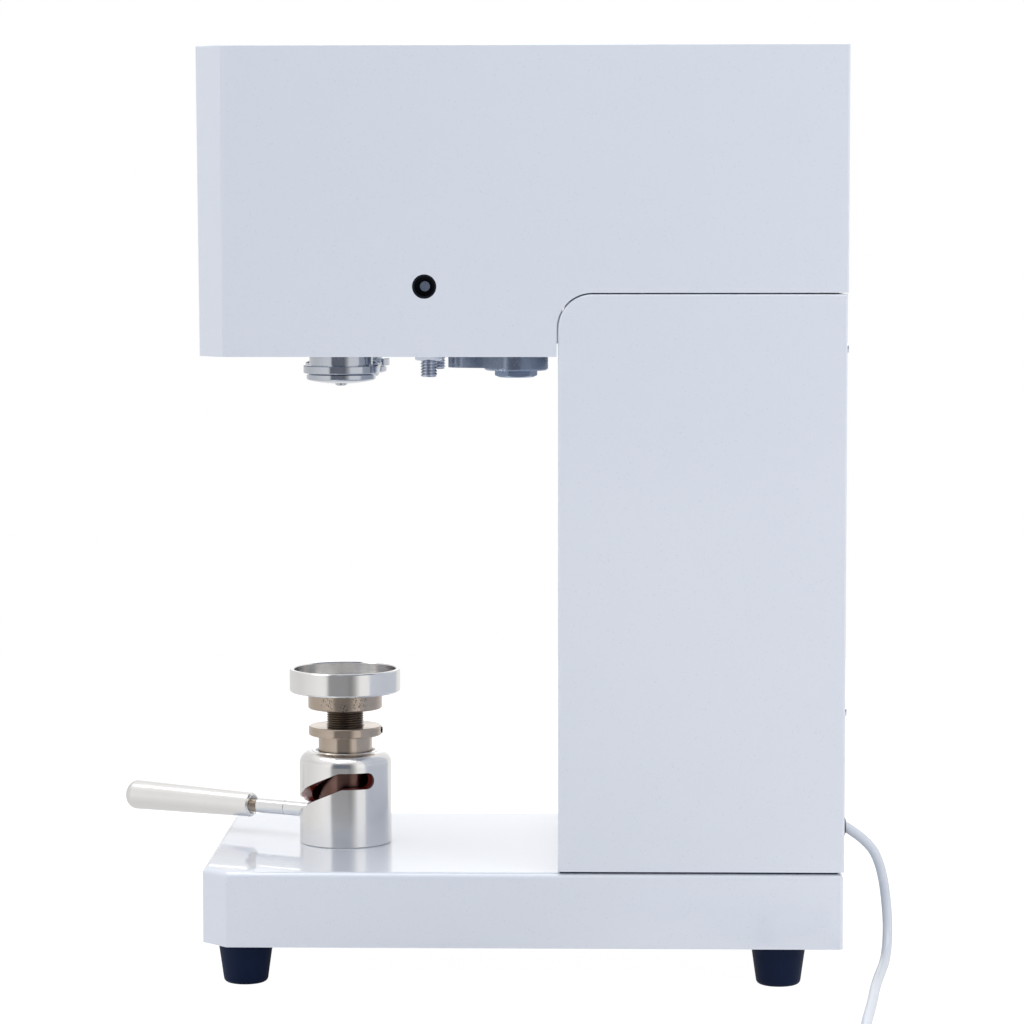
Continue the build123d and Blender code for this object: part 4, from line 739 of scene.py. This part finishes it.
def oiled_below(place, turned, tone, height):
    """Brown oil up to where the piston leaves the jack."""
    film = 1 - step_between(coordinate(turned, "Y"), *PISTON_OIL_Z)
    smear = noise(stretched(place, 1.0, 1.0, 0.3), 120.0, detail=3.0)
    oil = mix(smear, colour(84, 58, 52), colour(138, 110, 102))
    return mix(film, tone, oil), height, 1.0


def bright_flange(place, turned, tone, height):
    """The bush in the jack's mouth: only its lip is dark."""
    lip = 1 - step_between(coordinate(turned, "X"), *BUSH_LIP_R)
    return mix(lip, tone, colour(40, 31, 26)), height, 1 - 0.5 * lip


# %% [markdown]
# Milled, plated and ground steel
#
# Parts that weren't turned are finished by milling, by bright zinc plate or by grinding. Milled
# faces show short strokes and plate has a faint cloudiness. The cool blue of both is painted into
# their colour, a painted reflection of a cool sky.

# %% Other metals
STROKE_SCALE = 960.0
CLOUD_SCALE = 48.0


def milled_metal(name, dark, light, roughness):
    """Metal with fine strokes under a faint cloudiness."""
    material, shader, place = new_material(name)
    strokes = noise(stretched(place, 0.18, 1.0, 0.6), STROKE_SCALE, detail=3.0)
    cloud = noise(place, CLOUD_SCALE, detail=3.0)
    connect(shader, {
        "Base Color": mix(0.5 * strokes + 0.5 * cloud, colour(*dark), colour(*light)),
        "Metallic": 1.0,
        "Roughness": roughness + 0.2 * (cloud - 0.5) + 0.1 * (strokes - 0.5),
        "Normal": bump(strokes, 0.2, 0.00008),
    })
    return material


def oiled_bronze():
    """The collar in the jack: dark red-brown, wet with oil that lies in streaks."""
    material, shader, place = new_material("bearing_bronze")
    streaks = noise(stretched(place, 1.0, 1.0, 0.25), 170.0, detail=4.0)
    oil = step_between(noise(place, 90.0, detail=3.0), 0.42, 0.60)
    dark = mix(streaks, colour(74, 28, 24), colour(150, 84, 66))
    connect(shader, {
        "Base Color": mix(oil, dark, colour(176, 138, 128)),
        "Metallic": 0.85,
        "Roughness": 0.42 - 0.2 * oil,
        "Coat Weight": 0.6,
        "Coat Roughness": 0.12,
        "Normal": bump(streaks, 0.35, 0.0002),
    })
    return material


# %% [markdown]
# Rubber, plastic and the small things
#
# Moulded parts share one recipe: a tone that drifts, a fine leathery skin from a Voronoi pattern, and
# a dull gloss. What differs between a foot, a gland and a cord is how coarse the skin is and how
# much light it throws back, so these are the arguments.

# %% Mouldings
def moulding(name, dark, light, roughness, skin=1500.0, depth=0.2, coat=0.0, gloss=0.5):
    """Rubber or plastic; skin is the fineness of its grain."""
    material, shader, place = new_material(name)
    drift = noise(place, 30.0, detail=3.0)
    cells = place.node("ShaderNodeTexVoronoi", {}, {"Vector": place, "Scale": skin})
    connect(shader, {
        "Base Color": mix(drift, colour(*dark), colour(*light)),
        "Roughness": roughness + 0.15 * (drift - 0.5),
        "Specular IOR Level": gloss,
        "Coat Weight": coat,
        "Coat Roughness": 0.1,
        "Normal": bump(cells, depth, 0.0001),
    })
    return material


def circuit_board():
    """Green board with a grid of tracks."""
    material, shader, place = new_material("board_green")
    grid = place.node("ShaderNodeTexBrick", {}, {
        "Vector": place, "Scale": 60.0, "Color1": colour(24, 92, 52), "Color2": colour(30, 104, 60),
        "Mortar": colour(150, 160, 110), "Mortar Size": 0.004,
    })
    connect(shader, {"Base Color": grid, "Roughness": 0.45})
    return material


# %% [markdown]
# Which piece gets which finish
#
# The record names a finish for every CAD node. Turned finishes also need the axis that the piece was
# turned on, so a short table lists the nodes that don't stand on the machine's own upright line. A
# few pieces differ from their slot's usual tone, and the cam's shaft has a darker plate of its own,
# because its nut looks darker than the other plated parts in the photograph.

# %% Finishes
ROLLER_Y = 2.65
FOLLOWER_X = 45.5
CAM_Y = 111.8
MOTOR_Y = 230.0
OWN_AXES = {}
for name in ("lever_grip", "lever_rod", "handle_thread"):
    OWN_AXES[name] = ((0, 0, LEVER_Z * MM), LEVER_AXIS)
for name in ("motor_pulley", "motor_shaft"):
    OWN_AXES[name] = ((0, MOTOR_Y * MM, 0), UPRIGHT)
for side_name, side in (("right", 1), ("left", -1)):
    for name in ("roller", "roller_fixings"):
        OWN_AXES[f"{side_name}_{name}"] = ((side * STUD_X * MM, ROLLER_Y * MM, 0), UPRIGHT)
    OWN_AXES[f"{side_name}_follower"] = ((side * FOLLOWER_X * MM, CAM_Y * MM, 0), UPRIGHT)

PLAIN_FINISHES = {
    "white_paint": painted_casing(),
    "dark_sheet": enamel("dark_sheet", (44, 48, 54), (58, 62, 70), 0.5),
    "motor_paint": enamel("motor_paint", (36, 40, 46), (52, 57, 64), 0.35),
    # The cool blue in the zinc and machined steel colours is a painted reflection of a cool sky.
    "zinc_steel": milled_metal("zinc_steel", (186, 194, 208), (224, 230, 242), 0.14),
    "machined_steel": milled_metal("machined_steel", (140, 152, 172), (172, 184, 204), 0.25),
    "bearing_bronze": oiled_bronze(),
    "black_oxide": milled_metal("black_oxide", (30, 30, 32), (52, 52, 54), 0.38),
    "black_rubber": moulding("black_rubber", (11, 25, 54), (17, 33, 64), 0.6, gloss=0.15),
    "black_plastic": moulding("black_plastic", (10, 14, 26), (18, 24, 38), 0.38, skin=2200.0, gloss=0.35),
    "grey_cord": moulding(
        "grey_cord", (212, 218, 227), (224, 229, 236), 0.36, skin=2600.0, depth=0.1, coat=0.3
    ),
    "button_green": moulding(
        "button_green", (26, 132, 66), (36, 150, 78), 0.3, skin=3000.0, depth=0.05, coat=0.5
    ),
    "board_green": circuit_board(),
}
OWN_PLAIN_FINISHES = {
    # The shaft's cool blue is a painted reflection of a cool sky too.
    "cam_shaft": milled_metal("zinc_steel.cam_shaft", (128, 142, 166), (158, 172, 196), 0.22),
}
SATIN = {"dark": (232, 230, 229), "light": (243, 242, 240), "roughness": 0.2}
TURNED_FINISHES = {
    "satin_aluminium": SATIN,
    "turned_steel": {"dark": (172, 157, 143), "light": (208, 193, 178), "roughness": 0.22},
    "polished_steel": {"dark": (182, 187, 196), "light": (206, 210, 218), "roughness": 0.12, "depth": 0.04},
}
OWN_FINISHES = {
    "bearing_hub": {"extra": pitted, "roughness": 0.3},
    "jack_body": {"extra": oiled_inside},
    "lift_piston": {"extra": oiled_below},
    "jack_bush": {**SATIN, "extra": bright_flange},
    "lever_rod": {"dark": (222, 222, 222), "light": (242, 242, 242), "roughness": 0.16},
    "threaded_stem": {"dark": (92, 81, 73), "light": (132, 120, 109), "roughness": 0.28},
}


def finish_for(name, slot):
    """The shared material of a slot, or a turned one made for the piece's own axis."""
    if name in OWN_PLAIN_FINISHES:
        return OWN_PLAIN_FINISHES[name]
    if slot in PLAIN_FINISHES:
        return PLAIN_FINISHES[slot]
    centre, axis = OWN_AXES.get(name, ((0, 0, 0), UPRIGHT))
    finish = {**TURNED_FINISHES[slot], **OWN_FINISHES.get(name, {})}
    return turned_metal(f"{slot}.{name}", centre=centre, axis=axis, **finish)


def dress(piece, material):
    """Puts one material in every slot of a piece."""
    if not piece.data.materials:
        piece.data.materials.append(material)
    for index in range(len(piece.data.materials)):
        piece.data.materials[index] = material


for row in frame["record"]["subparts"]:
    dress(nodes[row["node"]], finish_for(row["node"], row["material_slot"]))
MADE_HERE = (threaded_stem, threaded_studs, handle_thread, plug_body, plug_pins, coil_tie, mains_lead)
for piece in MADE_HERE:
    dress(piece, finish_for(piece.name, piece["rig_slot"]))
print("materials", len(bpy.data.materials))

# %% [markdown]
# Studio
#
# Bare metal shows what stands round it, so the surroundings are painted for reflections like a
# studio: white panels on most sides and a dim room where the photographer stands. The painting runs
# round the compass, so it is a colour ramp over the bearing, which both the world and the bench use.
# Under the horizon and on the bench no panel is brighter than LOW_WHITE. The camera sees plain white
# instead, and all other light is even and cool.

# %% Studio colours
PANELS = [
    (-180, 1.35), (-178, 1.3), (-170, 0.86), (-152, 0.76), (-100, 0.74), (-62, 0.86), (-36, 1.0), (-26, 0.0),
    (7, 0.0), (19, 0.3), (25, 0.45), (37, 1.0), (68, 1.0), (90, 0.85), (150, 0.85), (168, 0.92), (174, 1.08),
    (178, 1.33), (180, 1.35),
]
ROOM_FLOOR = (0.37, 0.362, 0.36, 1)
ROOM_WALL = (0.12, 0.14, 0.185, 1)
LOW_WHITE = 0.90
AMBIENT = (0.46, 0.475, 0.51, 1)
ROOM_FADE = 0.4


def studio_panels(place):
    """The panels' brightness at a bearing; 0 is the dim room."""
    x, y = coordinate(place, "X"), coordinate(place, "Y")
    bearing = y.math("ARCTAN2", y, x) * (0.5 / math.pi) + 0.5
    stops = [((degrees + 180) / 360, grey(value)) for degrees, value in PANELS]
    return bearing.node("ShaderNodeValToRGB", {"stops": stops}, {0: bearing})


def over_room(panels, room):
    """Panels with the room's colour where there are none."""
    bare = 1 - step_between(panels, 0.0, ROOM_FADE)
    return mix(bare, panels, room)


def low_panels(place):
    """The panels as they are under the horizon, none brighter than LOW_WHITE."""
    panels = studio_panels(place)
    return panels.math("MINIMUM", panels, LOW_WHITE)


def ray(tree, name):
    """1 for rays of one kind, such as Camera or Glossy, and 0 for others."""
    return Signal(tree).node("ShaderNodeLightPath", output=f"Is {name} Ray")


def seen_directly(tree):
    """1 for what the camera sees, also through a clear piece."""
    camera_ray = ray(tree, "Camera")
    return camera_ray.math("MAXIMUM", camera_ray, ray(tree, "Transmission"))


# %% [markdown]
# Bench and backdrop
#
# The photograph's ground is pure white. For the camera the bench is partly white light and partly
# paint, so the lit bench reaches white and the machine's soft shadow stays a little under it. None
# of that light falls on the machine.

# %% Bench
BENCH_HALF = 1.6
BENCH_WHITE_SHARE = 0.72
BENCH_WHITE = 1.36
BENCH_PAINT = 0.74
bench_mesh = bpy.data.meshes.new("bench")
corners = [(x * BENCH_HALF, y * BENCH_HALF, 0) for x, y in ((-1, -1), (1, -1), (1, 1), (-1, 1))]
bench_mesh.from_pydata(corners, [], [(0, 1, 2, 3)])
bench = bpy.data.objects.new("bench", bench_mesh)
scene.collection.objects.link(bench)
bench_material, bench_shader, bench_place = new_material("bench")
bench_tree = bench_material.node_tree
connect(bench_shader, {"Base Color": grey(BENCH_PAINT), "Roughness": 0.6})
mirrored = ray(bench_tree, "Glossy")
white = mix(mirrored, grey(BENCH_WHITE), over_room(low_panels(bench_place), ROOM_FLOOR))
light = white.node("ShaderNodeEmission", {}, {"Color": white, "Strength": 1.0})
share = mirrored.math("MAXIMUM", mirrored, seen_directly(bench_tree) * BENCH_WHITE_SHARE)
paint = Signal(bench_tree, bench_shader.outputs[0])
covered = share.node("ShaderNodeMixShader", {}, {0: share, 1: paint, 2: light})
connect(bench_tree.nodes["Material Output"], {"Surface": covered})
bench_mesh.materials.append(bench_material)

# %% [markdown]
# The world
#
# The dim room is a dark blue wall down to a little under the horizon, and a grey floor below that.
# Higher up a ceiling panel closes the room, which is why the dark band on the jack ends in a bright
# rounded edge.

# %% World
CEILING = 0.93
CEILING_EDGE = (0.52, 0.72)
FLOOR_EDGE = (-0.085, -0.055)
HORIZON = (-0.01, 0.01)
world = bpy.data.worlds.new("studio")
scene.world = world
world.use_nodes = True
world_tree = world.node_tree
direction = Signal(world_tree).node("ShaderNodeTexCoord", output="Generated")
height = coordinate(direction, "Z")
room = mix(step_between(height, *FLOOR_EDGE), ROOM_FLOOR, ROOM_WALL)
panels = mix(step_between(height, *HORIZON), low_panels(direction), studio_panels(direction))
walls = over_room(panels, room)
around = mix(step_between(height, *CEILING_EDGE), walls, grey(CEILING))
plain = mix(seen_directly(world_tree), AMBIENT, grey(1.0))
shown = mix(ray(world_tree, "Glossy"), plain, around)
connect(world_tree.nodes["Background"], {"Color": shown, "Strength": 1.0})

# %% [markdown]
# Lamps
#
# One large lamp hangs overhead. Three weak ones stand about as high as the machine: in front, in
# front on the far side, and behind on the near side. They lift the casing's front and rear faces.
# Only the overhead lamp shows in reflections; the painted studio gives the rest.

# %% Lamps
LAMPS = {
    "overhead": {"place": (0.1, -0.1, 2.3), "size": 2.2, "power": 44.0},
    "front": {"place": (0.7, -2.2, 0.5), "size": 1.6, "power": 6.0},
    "far": {"place": (-1.2, -1.7, 0.45), "size": 1.2, "power": 11.0},
    "side": {"place": (1.1, 1.35, 0.6), "size": 1.1, "power": 7.0},
}
LAMP_TARGET = Vector((0.0, 0.1, 0.3))
for name, lamp in LAMPS.items():
    data = bpy.data.lights.new(name, "AREA")
    data.shape = "SQUARE"
    data.size = lamp["size"]
    data.energy = lamp["power"]
    light = bpy.data.objects.new(name, data)
    scene.collection.objects.link(light)
    light.location = lamp["place"]
    light.rotation_euler = (LAMP_TARGET - light.location).to_track_quat("-Z", "Y").to_euler()
    light.visible_glossy = name == "overhead"
print("lamps", list(LAMPS))

# %% [markdown]
#
# Last, the render shows its colours through Blender's Standard view. The dressed machine must
# stay inside the CAD model's box.

# %% Finish
scene.view_settings.view_transform = "Standard"
